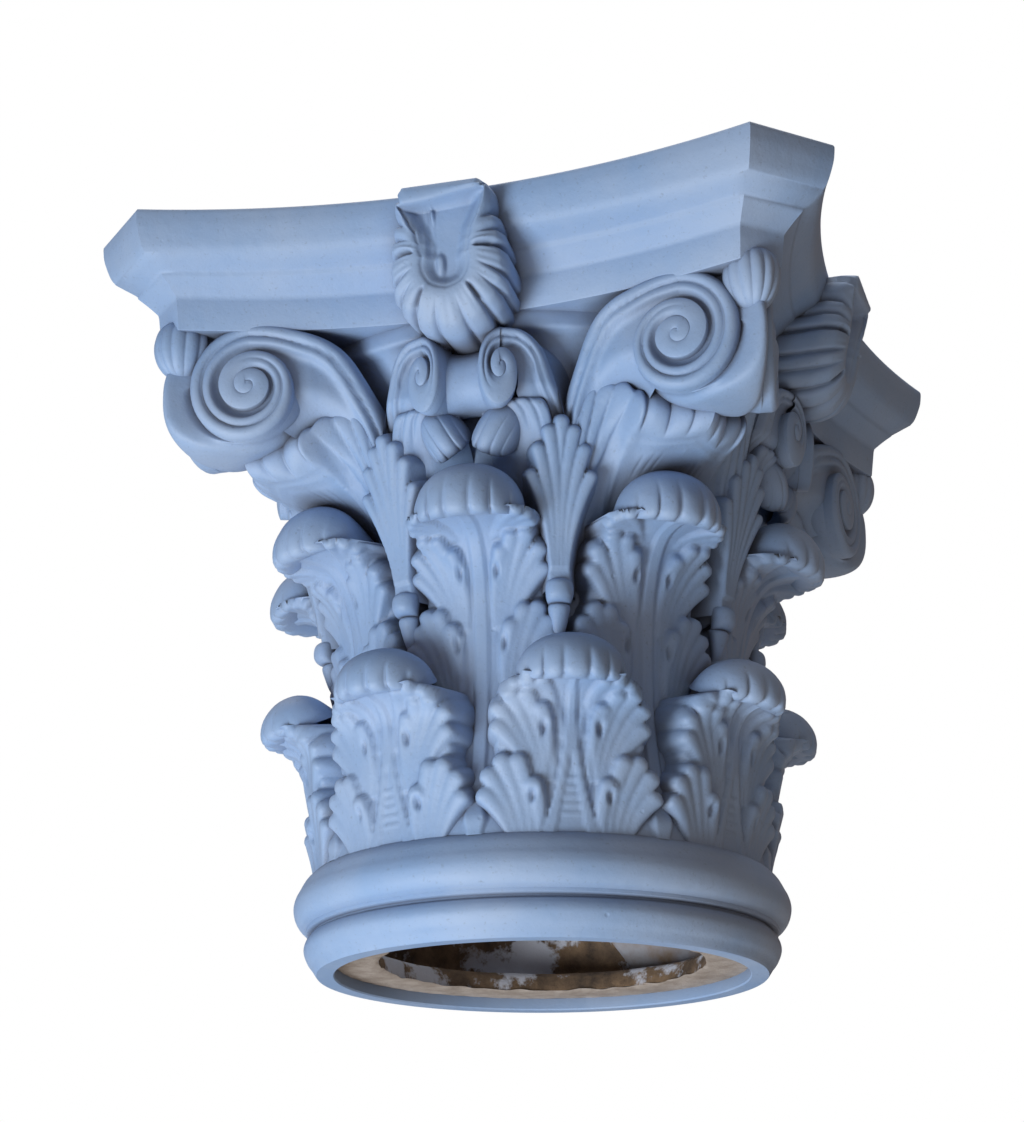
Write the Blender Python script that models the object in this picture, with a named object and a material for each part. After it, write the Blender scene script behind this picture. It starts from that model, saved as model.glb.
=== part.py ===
"""Hollow cast Corinthian column capital, one piece.

Metres, +Z up, origin at the centre of the underside. The front face looks along -Y.
"""
import math

import bmesh
import bpy
import numpy as np
from mathutils import Matrix, Vector

for old in list(bpy.data.objects):
    bpy.data.objects.remove(old, do_unlink=True)

HEIGHT = 0.573
SIDES = 4
ROUND_STEPS = 36
FACET_BUDGET = 9800

# astragal ring at the foot
ASTRAGAL_R = 0.200
ASTRAGAL_BOTTOM = 0.0335
ASTRAGAL_TOP = 0.080
GROOVE_R = 0.1892
GROOVE_Z = 0.029
LOWER_BEAD_R = 0.191
LOWER_BEAD_Z = 0.019
RIM_R = 0.1815

# recess, mouth and hollow
RECESS_R = 0.166
RECESS_DEPTH = 0.010
MOUTH_R = 0.131
FLANGE_THICK = 0.016
WALL = 0.018
TOP_MOUTH_R = 0.185

# bell
BELL_FOOT_R = 0.1815
BELL_WAIST_R = 0.156
BELL_WAIST_Z = 0.265
BELL_FOOT_CURVE = 1.6
BELL_FLARE_CURVE = 2.4
LIP_R = 0.215
LIP_HEIGHT = 0.014
LIP_STEP = 0.006

# abacus, plan at the top edge
ABACUS_HALF = 0.3008
ABACUS_CUT = 0.054
ABACUS_SAG = 0.0417
ABACUS_STEPS = 6
SOFFIT_Z = 0.486
BAND_INSET = 0.0455
BAND_TOP = 0.514
BAND_LEAN = 0.003
FILLET_INSET = 0.029
FILLET_TOP = 0.529
OVOLO_BULGE = 0.008

# lower and upper rows of leaves
LEAVES_PER_ROW = 8
LEAF_THICK = 0.016
UNDERCUT_SHARE = 0.35
CURL_DEPTH_SHARE = 0.70
CURL_ARCH = 0.42
RIB_HALF = 0.0085
RIB_RAISE = 0.0035
LOBE_RAISE = 0.003
LOBE_SET_BACK = 0.004
NOTCH_SET_BACK = 0.012
NOTCH_SHARE = 0.64
ROOT_DEPTH = 0.006
FOOT_SET_BACK = 0.002

LOW_FACE_R = 0.1885
LOW_TIP_R = 0.231
LOW_TOP = 0.226
LOW_CURL_Z = 0.190
LOW_HALF_FOOT = 0.062
LOW_HALF_TOP = 0.047
LOW_LOBE_COUNT = 2

HIGH_FACE_R = 0.143
HIGH_TIP_R = 0.241
HIGH_TOP = 0.362
HIGH_CURL_Z = 0.320
HIGH_HALF_FOOT = 0.058
HIGH_HALF_TOP = 0.043
HIGH_LOBE_COUNT = 3

# corner volutes, eye as offset along the side, out from the axis, and height
EYE_X = 0.1753
EYE_OUT = 0.230
EYE_Z = 0.4385
VOLUTE_HALF_W = 0.0460
VOLUTE_HALF_H = 0.0490
VOLUTE_TURN = math.radians(8.0)
VOLUTE_TURNS = 1.75
DRUM_OUT = 0.338
DRUM_HALF_W = 0.054
DRUM_HALF_H = 0.056
SPIRAL_RAISE = 0.006
STALK_X = 0.070
STALK_OUT = 0.177
STALK_Z = 0.402
STALK_DEPTH = 0.035

# small inner spirals and the bolster that joins them
HELIX_X = 0.0306
HELIX_OUT = 0.224
HELIX_Z = 0.4330
HELIX_HALF_W = 0.0185
HELIX_HALF_H = 0.0320
HELIX_TURN = math.radians(-21.0)
HELIX_TURNS = 1.25
BOLSTER_WAIST = 0.80
BOLSTER_DEPTH = 0.060

# sheaths and their leaves, each sheath beside the middle of a side
SHEATH_ASIDE = math.radians(20.3)
SHEATH_R = 0.172
SHEATH_ROOT = 0.010
SHEATH_Z = 0.235
COLLAR_Z = 0.268
COLLAR_HALF = 0.0125
COLLAR_RAISE = 0.012
COLLAR_ROUND = 0.007
SHEATH_FLARE = 1.3
SHEATH_LEAF_TOP = 0.400
SHEATH_LEAF_R = 0.204
SHEATH_LEAF_HALF = 0.022
CANOPY_TIP_R = 0.268
CANOPY_TIP_Z = 0.382
CANOPY_TOP = 0.408
CANOPY_HALF = 0.034
CANOPY_THICK = 0.014
CANOPY_CROWN = 0.030
CANOPY_OVERLAP = math.radians(1.8)
LEAF_ROOT_IN = 0.010
LEAF_ROOT_UP = 0.030
INNER_TIP_X = 0.036
INNER_TIP_OUT = 0.210
INNER_TIP_Z = 0.400
INNER_BEND = 0.011
INNER_HALF = 0.016

# shell under each corner of the abacus
SHELL_DIAGONAL = 0.320
SHELL_Z = 0.472
SHELL_HALF = 0.027

# palmette on each side of the abacus
PALMETTE_TOP = 0.570
PALMETTE_BOTTOM = 0.446
PALMETTE_HALF = 0.054
PALMETTE_TOP_OUT = 0.287
PALMETTE_LOW_OUT = 0.252
PALMETTE_DEPTH = 0.060
PALMETTE_DROP = 0.22
PALMETTE_FINGERS = 11
PALMETTE_SCALLOP = 0.10
PALMETTE_RAISE = 0.004
CUP_HALF = 0.019
CUP_DEPTH = 0.008


def polar(radius, angle, z):
    """Point at a radius and an angle round the axis."""
    return Vector((radius * math.cos(angle), radius * math.sin(angle), z))


def on_side(x, out, z):
    """Point of the front side: along it, out from the axis, height."""
    return Vector((x, -out, z))


def bezier(points, t):
    """Point of a Bezier curve of any order."""
    rest = [np.array(p, float) for p in points]
    while len(rest) > 1:
        rest = [a * (1 - t) + b * t for a, b in zip(rest, rest[1:])]
    return rest[0]


def solid(name, rings):
    """Closed faceted solid through rings of equal point counts."""
    mesh = bmesh.new()
    rows = [[mesh.verts.new(p) for p in ring] for ring in rings]
    count = len(rows[0])
    for low, high in zip(rows, rows[1:]):
        for i in range(count):
            j = (i + 1) % count
            mesh.faces.new((low[i], low[j], high[j], high[i]))
    mesh.faces.new(list(reversed(rows[0])))
    mesh.faces.new(rows[-1])
    bmesh.ops.triangulate(mesh, faces=mesh.faces[:])
    bmesh.ops.recalc_face_normals(mesh, faces=mesh.faces[:])
    if mesh.calc_volume(signed=True) < 0:
        bmesh.ops.reverse_faces(mesh, faces=mesh.faces[:])
    data = bpy.data.meshes.new(name)
    mesh.to_mesh(data)
    mesh.free()
    ob = bpy.data.objects.new(name, data)
    bpy.context.scene.collection.objects.link(ob)
    return ob


def turned(ob, turns, of=SIDES):
    """Copies of a solid at equal turns round the axis, the first left in place."""
    made = [ob]
    for k in range(1, turns):
        twin = ob.copy()
        twin.data = ob.data.copy()
        twin.data.transform(Matrix.Rotation(k * 2 * math.pi / of, 4, 'Z'))
        bpy.context.scene.collection.objects.link(twin)
        made.append(twin)
    return made


def mirrored(ob):
    """Copy of a solid on the other side of the front face's centre plane."""
    twin = ob.copy()
    twin.data = ob.data.copy()
    twin.data.transform(Matrix.Scale(-1, 4, Vector((1, 0, 0))))
    twin.data.flip_normals()
    bpy.context.scene.collection.objects.link(twin)
    return twin


def arc_profile(outer, inner, bottom, top, steps):
    """Rounded moulding in section between two heights."""
    made = []
    for k in range(steps + 1):
        a = -math.pi / 2 + math.pi * k / steps
        z = (bottom + top) / 2 + (top - bottom) / 2 * math.sin(a)
        made.append((inner + (outer - inner) * math.cos(a) ** 0.8, z))
    return made


def bell_radius(z):
    """Radius of the plain bell at a height below the lip."""
    low = ASTRAGAL_TOP
    if z <= BELL_WAIST_Z:
        t = (BELL_WAIST_Z - z) / (BELL_WAIST_Z - low)
        return BELL_WAIST_R + (BELL_FOOT_R - BELL_WAIST_R) * max(t, 0) ** BELL_FOOT_CURVE
    t = (z - BELL_WAIST_Z) / (SOFFIT_Z - LIP_HEIGHT - BELL_WAIST_Z)
    return BELL_WAIST_R + (LIP_R - LIP_STEP - BELL_WAIST_R) * min(t, 1) ** BELL_FLARE_CURVE


def revolve(name, profile, steps):
    """Solid of revolution about the axis from a section of (radius, height)."""
    rings = [[polar(r, 2 * math.pi * i / steps, z) for i in range(steps)] for r, z in profile]
    return solid(name, rings)


def make_body():
    """Ring, bell and lip as one turned solid."""
    lower = arc_profile(LOWER_BEAD_R, RIM_R, 0.0, 2 * LOWER_BEAD_Z - 0.002, 4)[:-1]
    profile = lower + [(GROOVE_R, GROOVE_Z)]
    profile += arc_profile(ASTRAGAL_R, GROOVE_R, ASTRAGAL_BOTTOM, ASTRAGAL_TOP, 6)[:-1]
    profile += [(BELL_FOOT_R, ASTRAGAL_TOP)]
    top = SOFFIT_Z - LIP_HEIGHT
    for k in range(1, 6):
        z = ASTRAGAL_TOP + (top - ASTRAGAL_TOP) * (k / 5) ** 0.85
        profile.append((bell_radius(z), z))
    profile += [(LIP_R, top), (LIP_R, SOFFIT_Z + 0.004)]
    profile = [p for i, p in enumerate(profile) if i == 0 or p[1] >= profile[i - 1][1]]
    return revolve("body", profile, ROUND_STEPS)


def abacus_outline(inset):
    """Plan of the abacus at an inset from its top edge: concave sides, cut corners."""
    half = ABACUS_HALF - inset
    width = ABACUS_HALF - ABACUS_CUT - inset * math.tan(math.pi / 8)
    sag = ABACUS_SAG
    radius = (width * width + sag * sag) / (2 * sag)
    side = []
    for k in range(ABACUS_STEPS + 1):
        x = width * (2 * k / ABACUS_STEPS - 1)
        side.append((x, -half + math.sqrt(radius * radius - x * x) - (radius - sag)))
    points = []
    for turn in range(SIDES):
        c, s = math.cos(turn * math.pi / 2), math.sin(turn * math.pi / 2)
        points += [(c * x - s * y, s * x + c * y) for x, y in side]
    return points


def abacus_profile():
    """Inset and height of each edge of the abacus, from the soffit up."""
    levels = [(BAND_INSET, SOFFIT_Z), (BAND_INSET - BAND_LEAN, BAND_TOP),
              (FILLET_INSET + 2 * BAND_LEAN, BAND_TOP + BAND_LEAN), (FILLET_INSET, FILLET_TOP)]
    for k in range(1, 4):
        t = k / 4
        z = FILLET_TOP + (HEIGHT - FILLET_TOP) * t
        inset = FILLET_INSET * (1 - t) - OVOLO_BULGE * math.sin(math.pi * t) * (1 - 0.4 * t)
        levels.append((max(inset, 0.0008 * (4 - k)), z))
    levels.append((0.0, HEIGHT))
    return levels


def make_abacus():
    rings = [[Vector((x, y, z)) for x, y in abacus_outline(inset)] for inset, z in abacus_profile()]
    return solid("abacus", rings)


def leaf_sections(foot_r, face_r, tip_r, top, curl_z, lobes, half_foot, half_top):
    """Sections up a leaf as (front, front normal, fold, edge, shoulder, back, half width)."""
    rise_b = top - curl_z
    out_a = CURL_DEPTH_SHARE * rise_b
    centre_r = tip_r - out_a
    start = (centre_r - out_a + LEAF_THICK, curl_z)
    sections = []
    rise = 2 * lobes
    for k in range(rise + 1):
        t = k / rise
        r, z = bezier([(foot_r, ASTRAGAL_TOP), (face_r, (ASTRAGAL_TOP + curl_z) / 2), start], t)
        is_lobe = k % 2 == 1
        half = (half_foot + (half_top - half_foot) * t) * (1.0 if is_lobe else NOTCH_SHARE)
        fold = (r + (LOBE_RAISE if is_lobe else 0.0), z)
        edge = (r - (LOBE_SET_BACK if is_lobe else NOTCH_SET_BACK), z)
        root = (bell_radius(z) - ROOT_DEPTH, z)
        sections.append(((r, z), (1.0, 0.0), fold, edge, root, root, half))
    for deg, width in ((130, 0.94), (82, 1.0), (32, 1.0), (-12, 0.80)):
        a = math.radians(deg)
        c, s = math.cos(a), math.sin(a)
        front = (centre_r + (out_a - LEAF_THICK) * c, curl_z + UNDERCUT_SHARE * rise_b * s)
        back, shoulder, edge = [(centre_r + share * out_a * c, curl_z + share * rise_b * s)
                                for share in (1.0, 1 - 0.3 * CURL_ARCH, 1 - CURL_ARCH)]
        sections.append((front, (-c, -s), front, edge, shoulder, back, half_top * width))
    return sections


def make_leaf(name, angle, spec):
    """Leaf with lobed edges, a two-ridged rib and a tip that bends out and down."""
    rings = []
    for front, (nr, nz), fold, edge, shoulder, back, half in leaf_sections(*spec):
        rib = (front[0] + nr * RIB_RAISE, front[1] + nz * RIB_RAISE)
        outline = ((edge, -half), (fold, -0.6 * half), (rib, -RIB_HALF), (front, 0.0), (rib, RIB_HALF),
                   (fold, 0.6 * half), (edge, half), (shoulder, 0.65 * half), (back, 0.0),
                   (shoulder, -0.65 * half))
        rings.append([polar(r, angle + u / r, z) for (r, z), u in outline])
    return solid(name, rings)


def face_frame(eye_x, eye_out, eye_z, turn):
    """Origin and the two directions of a spiral's face: along the side and up."""
    along = Vector((math.cos(turn), -math.sin(turn), 0))
    return on_side(eye_x, eye_out, eye_z), along, Vector((0, 0, 1))


def spiral_radius(turn, turns):
    """Share of the full size after some turns from the top."""
    return 1 - 0.93 * turn / (turns + 0.6)


def make_spiral(name, frame, half_w, half_h, turns, sense, raise_by, depth):
    """Raised spiral ridge on a face, with its own flat backing."""
    origin, along, up = frame
    normal = along.cross(up)
    steps = int(round(9 * turns))
    rings = []
    for k in range(steps + 1):
        t = k / 9
        a = math.pi / 2 - sense * 2 * math.pi * t
        outer = spiral_radius(t, turns)
        inner = max(outer - 0.36, 0.04)
        spoke = along * (half_w * math.cos(a)) + up * (half_h * math.sin(a))
        low = origin - normal * depth
        rings.append([low + spoke * outer, origin + spoke * (outer * 0.6 + inner * 0.4) + normal * raise_by,
                      low + spoke * inner])
    return solid(name, rings)


def make_drum():
    """Corner drum between the two volutes that meet at the front right corner."""
    origin, along, up = face_frame(EYE_X, EYE_OUT, EYE_Z, VOLUTE_TURN)
    steps = 14
    swap = Matrix(((0, -1, 0), (-1, 0, 0), (0, 0, 1)))
    corner = Vector((math.sqrt(0.5), -math.sqrt(0.5), 0))
    middle = corner * (DRUM_OUT - DRUM_HALF_W) + up * EYE_Z
    first, mid = [], []
    for k in range(steps):
        a = 2 * math.pi * k / steps
        outward = 1.0 if math.cos(a) > 0 else 0.75
        spoke = along * (VOLUTE_HALF_W * outward * math.cos(a)) + up * (VOLUTE_HALF_H * math.sin(a))
        first.append(origin + spoke)
        mid.append(middle + corner * (DRUM_HALF_W * math.cos(a)) + up * (DRUM_HALF_H * math.sin(a)))
    last = [swap @ p for p in first]
    return solid("drum", [first, mid, last])


def make_stalk(name, outer, inner, depth):
    """Flat stem between two curves on the side, deep enough to root in the bell."""
    rings = []
    for k in range(5):
        t = k / 4
        a = bezier(outer, t)
        b = bezier(inner, t)
        rings.append([on_side(*a), on_side(*b), on_side(b[0], b[1] - depth, b[2]),
                      on_side(a[0], a[1] - depth, a[2])])
    return solid(name, rings)


def make_volute():
    """Spiral and stem of the right hand volute of the front side."""
    frame = face_frame(EYE_X, EYE_OUT, EYE_Z, VOLUTE_TURN)
    spiral = make_spiral("volute", frame, VOLUTE_HALF_W, VOLUTE_HALF_H, VOLUTE_TURNS, 1, SPIRAL_RAISE, 0.004)
    top = EYE_Z + VOLUTE_HALF_H
    outer = [(STALK_X - 0.004, STALK_OUT, STALK_Z), (STALK_X + 0.015, STALK_OUT + 0.018, top - 0.008),
             (EYE_X - 0.3 * VOLUTE_HALF_W, EYE_OUT, top)]
    inner = [(STALK_X + 0.012, STALK_OUT + 0.002, STALK_Z),
             (STALK_X + 0.035, STALK_OUT + 0.02, EYE_Z - 0.014),
             (EYE_X - 0.7 * VOLUTE_HALF_W, EYE_OUT, EYE_Z + 0.002)]
    return [spiral, make_stalk("volute_stalk", outer, inner, STALK_DEPTH)]


def make_helix():
    """Right hand inner spiral of the front side with its stem."""
    frame = face_frame(HELIX_X, HELIX_OUT, HELIX_Z, HELIX_TURN)
    spiral = make_spiral("helix", frame, HELIX_HALF_W, HELIX_HALF_H, HELIX_TURNS, -1, SPIRAL_RAISE, 0.010)
    top = HELIX_Z + HELIX_HALF_H
    outer = [(STALK_X - 0.002, STALK_OUT, STALK_Z), (STALK_X, STALK_OUT + 0.026, top),
             (HELIX_X, HELIX_OUT, top)]
    inner = [(STALK_X - 0.014, STALK_OUT + 0.002, STALK_Z), (STALK_X - 0.012, STALK_OUT + 0.026, top - 0.016),
             (HELIX_X + 0.005, HELIX_OUT, top - 0.014)]
    return [spiral, make_stalk("helix_stalk", outer, inner, STALK_DEPTH)]


def make_bolster():
    """Waisted bolster between the two inner spirals of the front side."""
    rings = []
    depth = BOLSTER_DEPTH / 2
    for x, share in ((-1.0, 1.0), (0.0, BOLSTER_WAIST), (1.0, 1.0)):
        ring = []
        for k in range(10):
            a = 2 * math.pi * k / 10
            out = HELIX_OUT + 0.004 - depth + depth * share * math.cos(a)
            ring.append(on_side(x * HELIX_X, out, HELIX_Z + HELIX_HALF_H * share * math.sin(a)))
        rings.append(ring)
    return solid("bolster", rings)


def make_sheath(angle):
    """Tapered stem with a round collar that the leaves of a volute grow from."""
    collar = SHEATH_R + COLLAR_RAISE
    levels = ((SHEATH_R - SHEATH_ROOT, SHEATH_Z, SHEATH_FLARE / 2),
              (collar - 0.3 * COLLAR_RAISE, COLLAR_Z - COLLAR_ROUND, 0.75),
              (collar, COLLAR_Z, 1.0), (collar - 0.2 * COLLAR_RAISE, COLLAR_Z + COLLAR_ROUND, 0.8),
              (SHEATH_LEAF_R - SHEATH_ROOT, (COLLAR_Z + STALK_Z) / 2, (1 + SHEATH_FLARE) / 2),
              (STALK_OUT + SHEATH_ROOT, STALK_Z, SHEATH_FLARE))
    rings = []
    for r, z, half in levels:
        ring = []
        for k in range(6):
            a = 2 * math.pi * k / 6
            radius = r - COLLAR_HALF + COLLAR_HALF * math.cos(a)
            ring.append(polar(radius, angle + half * COLLAR_HALF * math.sin(a) / r, z))
        rings.append(ring)
    return solid("sheath", rings)


def blade(name, path, halves, thick, cross):
    """Thin leaf swept on a path: points, half widths, thickness and the direction across."""
    rings = []
    for i, (p, half) in enumerate(zip(path, halves)):
        ahead = path[min(i + 1, len(path) - 1)] - path[max(i - 1, 0)]
        side = (cross[i] - ahead * (cross[i].dot(ahead) / ahead.length_squared)).normalized()
        normal = side.cross(ahead).normalized()
        rings.append([p - side * half, p + normal * thick * 0.6, p + side * half, p - normal * thick * 0.5])
    return solid(name, rings)


def make_canopy():
    """Leaf that bends out from a sheath under the front right corner drum."""
    corner = -math.pi / 4
    start = corner - math.pi / LEAVES_PER_ROW
    path, halves, cross = [], [], []
    for k in range(6):
        t = k / 5
        angle = start + (corner + CANOPY_OVERLAP - start) * min(t * 1.15, 1.0)
        r, z = bezier([(SHEATH_LEAF_R - 2 * LEAF_ROOT_IN, COLLAR_Z + LEAF_ROOT_UP),
                       (SHEATH_LEAF_R - LEAF_ROOT_IN / 2, CANOPY_TOP + CANOPY_CROWN / 2),
                       (CANOPY_TIP_R - 2 * LEAF_ROOT_IN, CANOPY_TOP + CANOPY_CROWN),
                       (CANOPY_TIP_R, CANOPY_TIP_Z)], t)
        path.append(polar(r, angle, z))
        halves.append(CANOPY_HALF * (0.35 + 0.65 * math.sin(math.pi * min(0.15 + 0.7 * t, 1.0))))
        cross.append(polar(1.0, angle + math.pi / 2, 0.0))
    return blade("canopy", path, halves, CANOPY_THICK, cross)


def make_inner_leaf():
    """Small leaf that bends from a sheath towards the inner spiral."""
    start = polar(SHEATH_LEAF_R - 2 * LEAF_ROOT_IN, -math.pi / 2 + SHEATH_ASIDE, COLLAR_Z + LEAF_ROOT_UP)
    end = on_side(INNER_TIP_X, INNER_TIP_OUT, INNER_TIP_Z - INNER_BEND)
    high = on_side((start.x + INNER_TIP_X) / 2, INNER_TIP_OUT - INNER_BEND, INNER_TIP_Z + 2 * INNER_BEND)
    path, halves, cross = [], [], []
    for k in range(4):
        t = k / 3
        path.append(Vector(bezier([start, high, end], t)))
        halves.append(INNER_HALF * (0.5 + 0.5 * math.sin(math.pi * (0.2 + 0.6 * t))))
        cross.append(Vector((0.75, 0.1, 0.65)))
    return blade("inner_leaf", path, halves, CANOPY_THICK, cross)


def make_sheath_leaf(angle):
    """Upright leaf in front of a sheath."""
    path, halves, cross = [], [], []
    for k in range(5):
        t = k / 4
        z = COLLAR_Z + (SHEATH_LEAF_TOP - COLLAR_Z) * t
        path.append(polar(SHEATH_R + COLLAR_RAISE / 2 + (SHEATH_LEAF_R - SHEATH_R) * t ** 0.8, angle, z))
        halves.append(SHEATH_LEAF_HALF * (0.45, 0.8, 0.75, 1.0, 0.35)[k])
        cross.append(polar(1.0, angle + math.pi / 2, 0.0))
    return blade("sheath_leaf", path, halves, CANOPY_THICK, cross)


def make_shell():
    """Ribbed shell between the front right corner drum and the abacus."""
    corner = Vector((math.sqrt(0.5), -math.sqrt(0.5), 0))
    across = Vector((math.sqrt(0.5), math.sqrt(0.5), 0))
    centre = corner * SHELL_DIAGONAL + Vector((0, 0, SHELL_Z))
    rings = []
    for k in range(5):
        a = -math.pi / 2 + math.pi * (k + 0.5) / 5
        ring = []
        for j in range(8):
            b = 2 * math.pi * j / 8
            spoke = corner * math.cos(b) + Vector((0, 0, 0.85)) * math.sin(b)
            ring.append(centre + across * (SHELL_HALF * math.sin(a)) + spoke * (SHELL_HALF * math.cos(a)))
        rings.append(ring)
    return solid("shell", rings)


def palmette_point(x, z, raise_by):
    """Point on the leaning face of the palmette, raised outwards."""
    t = (z - PALMETTE_BOTTOM) / (PALMETTE_TOP - PALMETTE_BOTTOM)
    out = PALMETTE_LOW_OUT + (PALMETTE_TOP_OUT - PALMETTE_LOW_OUT) * t ** 0.7 if t > 0 else PALMETTE_LOW_OUT
    return on_side(x, out + raise_by, z)


def make_palmette():
    """Palmette on the front side: a smooth cup inside a fan of rounded fingers."""
    count = 2 * PALMETTE_FINGERS
    half_h = (PALMETTE_TOP - PALMETTE_BOTTOM) / 2
    centre_z = PALMETTE_TOP - (1 - PALMETTE_DROP) * half_h
    cup = CUP_HALF / PALMETTE_HALF
    levels = ((1.0, -PALMETTE_DEPTH, True), (1.0, -1.5 * PALMETTE_RAISE, True), (0.78, PALMETTE_RAISE, True),
              (cup + 0.06, 0.0, False), (cup, -CUP_DEPTH, False))
    rings = []
    for size, raise_by, scalloped in levels:
        ring = []
        for k in range(count):
            a = -math.pi / 2 + 2 * math.pi * (k + 0.5) / count
            c, s = math.cos(a), math.sin(a)
            notch = PALMETTE_SCALLOP if scalloped and k % 2 else 0.0
            share = size * (1 - notch)
            reach = (1 - PALMETTE_DROP) if s > 0 else (1 + PALMETTE_DROP)
            square = 0.65 if s > 0 else 0.9
            x = PALMETTE_HALF * share * math.copysign(abs(c) ** square, c)
            z = centre_z + half_h * reach * share * math.copysign(abs(s) ** square, s)
            ring.append(palmette_point(x, z, raise_by))
        rings.append(ring)
    return solid("palmette", rings)


def make_cutter():
    """Everything hollow: the shallow recess, the mouth and the inside up to the open top."""
    floor = RECESS_DEPTH + FLANGE_THICK
    profile = [(RECESS_R, -0.02), (RECESS_R, RECESS_DEPTH), (MOUTH_R, RECESS_DEPTH), (MOUTH_R, floor)]
    top = SOFFIT_Z - LIP_HEIGHT
    for z in (floor, (floor + BELL_WAIST_Z) / 2, BELL_WAIST_Z, (BELL_WAIST_Z + top) / 2, top):
        profile.append((bell_radius(max(z, ASTRAGAL_TOP)) - WALL, z + (0.0 if z > floor else 0.006)))
    profile += [(TOP_MOUTH_R, SOFFIT_Z + 0.008), (TOP_MOUTH_R, HEIGHT + 0.02)]
    cutter = revolve("cutter", profile, ROUND_STEPS)
    cutter.hide_render = True
    cutter.display_type = 'WIRE'
    return cutter


def cast_material():
    """Matt to satin painted casting, pale grey blue."""
    mat = bpy.data.materials.new("painted_casting")
    mat.use_nodes = True
    shader = mat.node_tree.nodes["Principled BSDF"]
    shader.inputs["Base Color"].default_value = (0.262, 0.361, 0.552, 1.0)
    shader.inputs["Roughness"].default_value = 0.55
    shader.inputs["Metallic"].default_value = 0.0
    return mat


def boolean(target, operation, tool):
    """Exact Boolean with one object or with a collection of objects, applied at once."""
    step = target.modifiers.new(operation.lower(), 'BOOLEAN')
    step.operation = operation
    step.solver = 'EXACT'
    if isinstance(tool, bpy.types.Collection):
        step.operand_type = 'COLLECTION'
        step.collection = tool
    else:
        step.object = tool
    depsgraph = bpy.context.evaluated_depsgraph_get()
    data = bpy.data.meshes.new_from_object(target.evaluated_get(depsgraph))
    target.modifiers.clear()
    target.data = data


def gather(name, parts):
    """Move solids into a collection of their own."""
    group = bpy.data.collections.new(name)
    bpy.context.scene.collection.children.link(group)
    for ob in parts:
        bpy.context.scene.collection.objects.unlink(ob)
        group.objects.link(ob)
    return group


def clear(group):
    for ob in list(group.objects):
        bpy.data.objects.remove(ob, do_unlink=True)
    bpy.data.collections.remove(group)


def build():
    """The whole capital as one closed solid."""
    body = make_body()
    step = 2 * math.pi / LEAVES_PER_ROW
    low = (BELL_FOOT_R, LOW_FACE_R, LOW_TIP_R, LOW_TOP, LOW_CURL_Z, LOW_LOBE_COUNT,
           LOW_HALF_FOOT, LOW_HALF_TOP)
    high = (BELL_FOOT_R - FOOT_SET_BACK, HIGH_FACE_R, HIGH_TIP_R, HIGH_TOP, HIGH_CURL_Z, HIGH_LOBE_COUNT,
            HIGH_HALF_FOOT, HIGH_HALF_TOP)
    lower_leaves = turned(make_leaf("low_leaf", step / 2, low), LEAVES_PER_ROW, LEAVES_PER_ROW)
    upper_leaves = turned(make_leaf("high_leaf", 0.0, high), LEAVES_PER_ROW, LEAVES_PER_ROW)
    upper = [make_abacus()]
    aside = -math.pi / 2 + SHEATH_ASIDE
    paired = make_volute() + make_helix()
    paired += [make_sheath(aside), make_sheath_leaf(aside), make_canopy(), make_inner_leaf()]
    for piece in paired:
        upper += turned(mirrored(piece), SIDES)
        upper += turned(piece, SIDES)
    for piece in (make_drum(), make_shell(), make_bolster(), make_palmette()):
        upper += turned(piece, SIDES)
    parts = gather("ornament", lower_leaves + upper_leaves + upper)
    boolean(body, 'UNION', parts)
    clear(parts)
    cutter = make_cutter()
    boolean(body, 'DIFFERENCE', cutter)
    bpy.data.objects.remove(cutter, do_unlink=True)
    body.name = "capital"
    body.data.name = "capital"
    return body


def finish(ob):
    """Fewer facets, a soft shade and the colour."""
    mesh = bmesh.new()
    mesh.from_mesh(ob.data)
    bmesh.ops.dissolve_limit(mesh, angle_limit=math.radians(1), verts=mesh.verts[:], edges=mesh.edges[:])
    bmesh.ops.triangulate(mesh, faces=mesh.faces[:])
    count = len(mesh.faces)
    mesh.to_mesh(ob.data)
    mesh.free()
    if count > FACET_BUDGET:
        step = ob.modifiers.new("facets", 'DECIMATE')
        step.ratio = FACET_BUDGET / count
        depsgraph = bpy.context.evaluated_depsgraph_get()
        data = bpy.data.meshes.new_from_object(ob.evaluated_get(depsgraph))
        ob.modifiers.clear()
        ob.data = data
    ob.data.name = ob.name
    ob.data.materials.clear()
    ob.data.materials.append(cast_material())
    ob.data.shade_smooth()
    ob.data.set_sharp_from_angle(angle=math.radians(32))


capital = build()
finish(capital)
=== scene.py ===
import math

import bpy
import numpy as np
from bpy.props import FloatProperty, FloatVectorProperty, PointerProperty, StringProperty
from mathutils import Matrix, Vector


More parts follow.
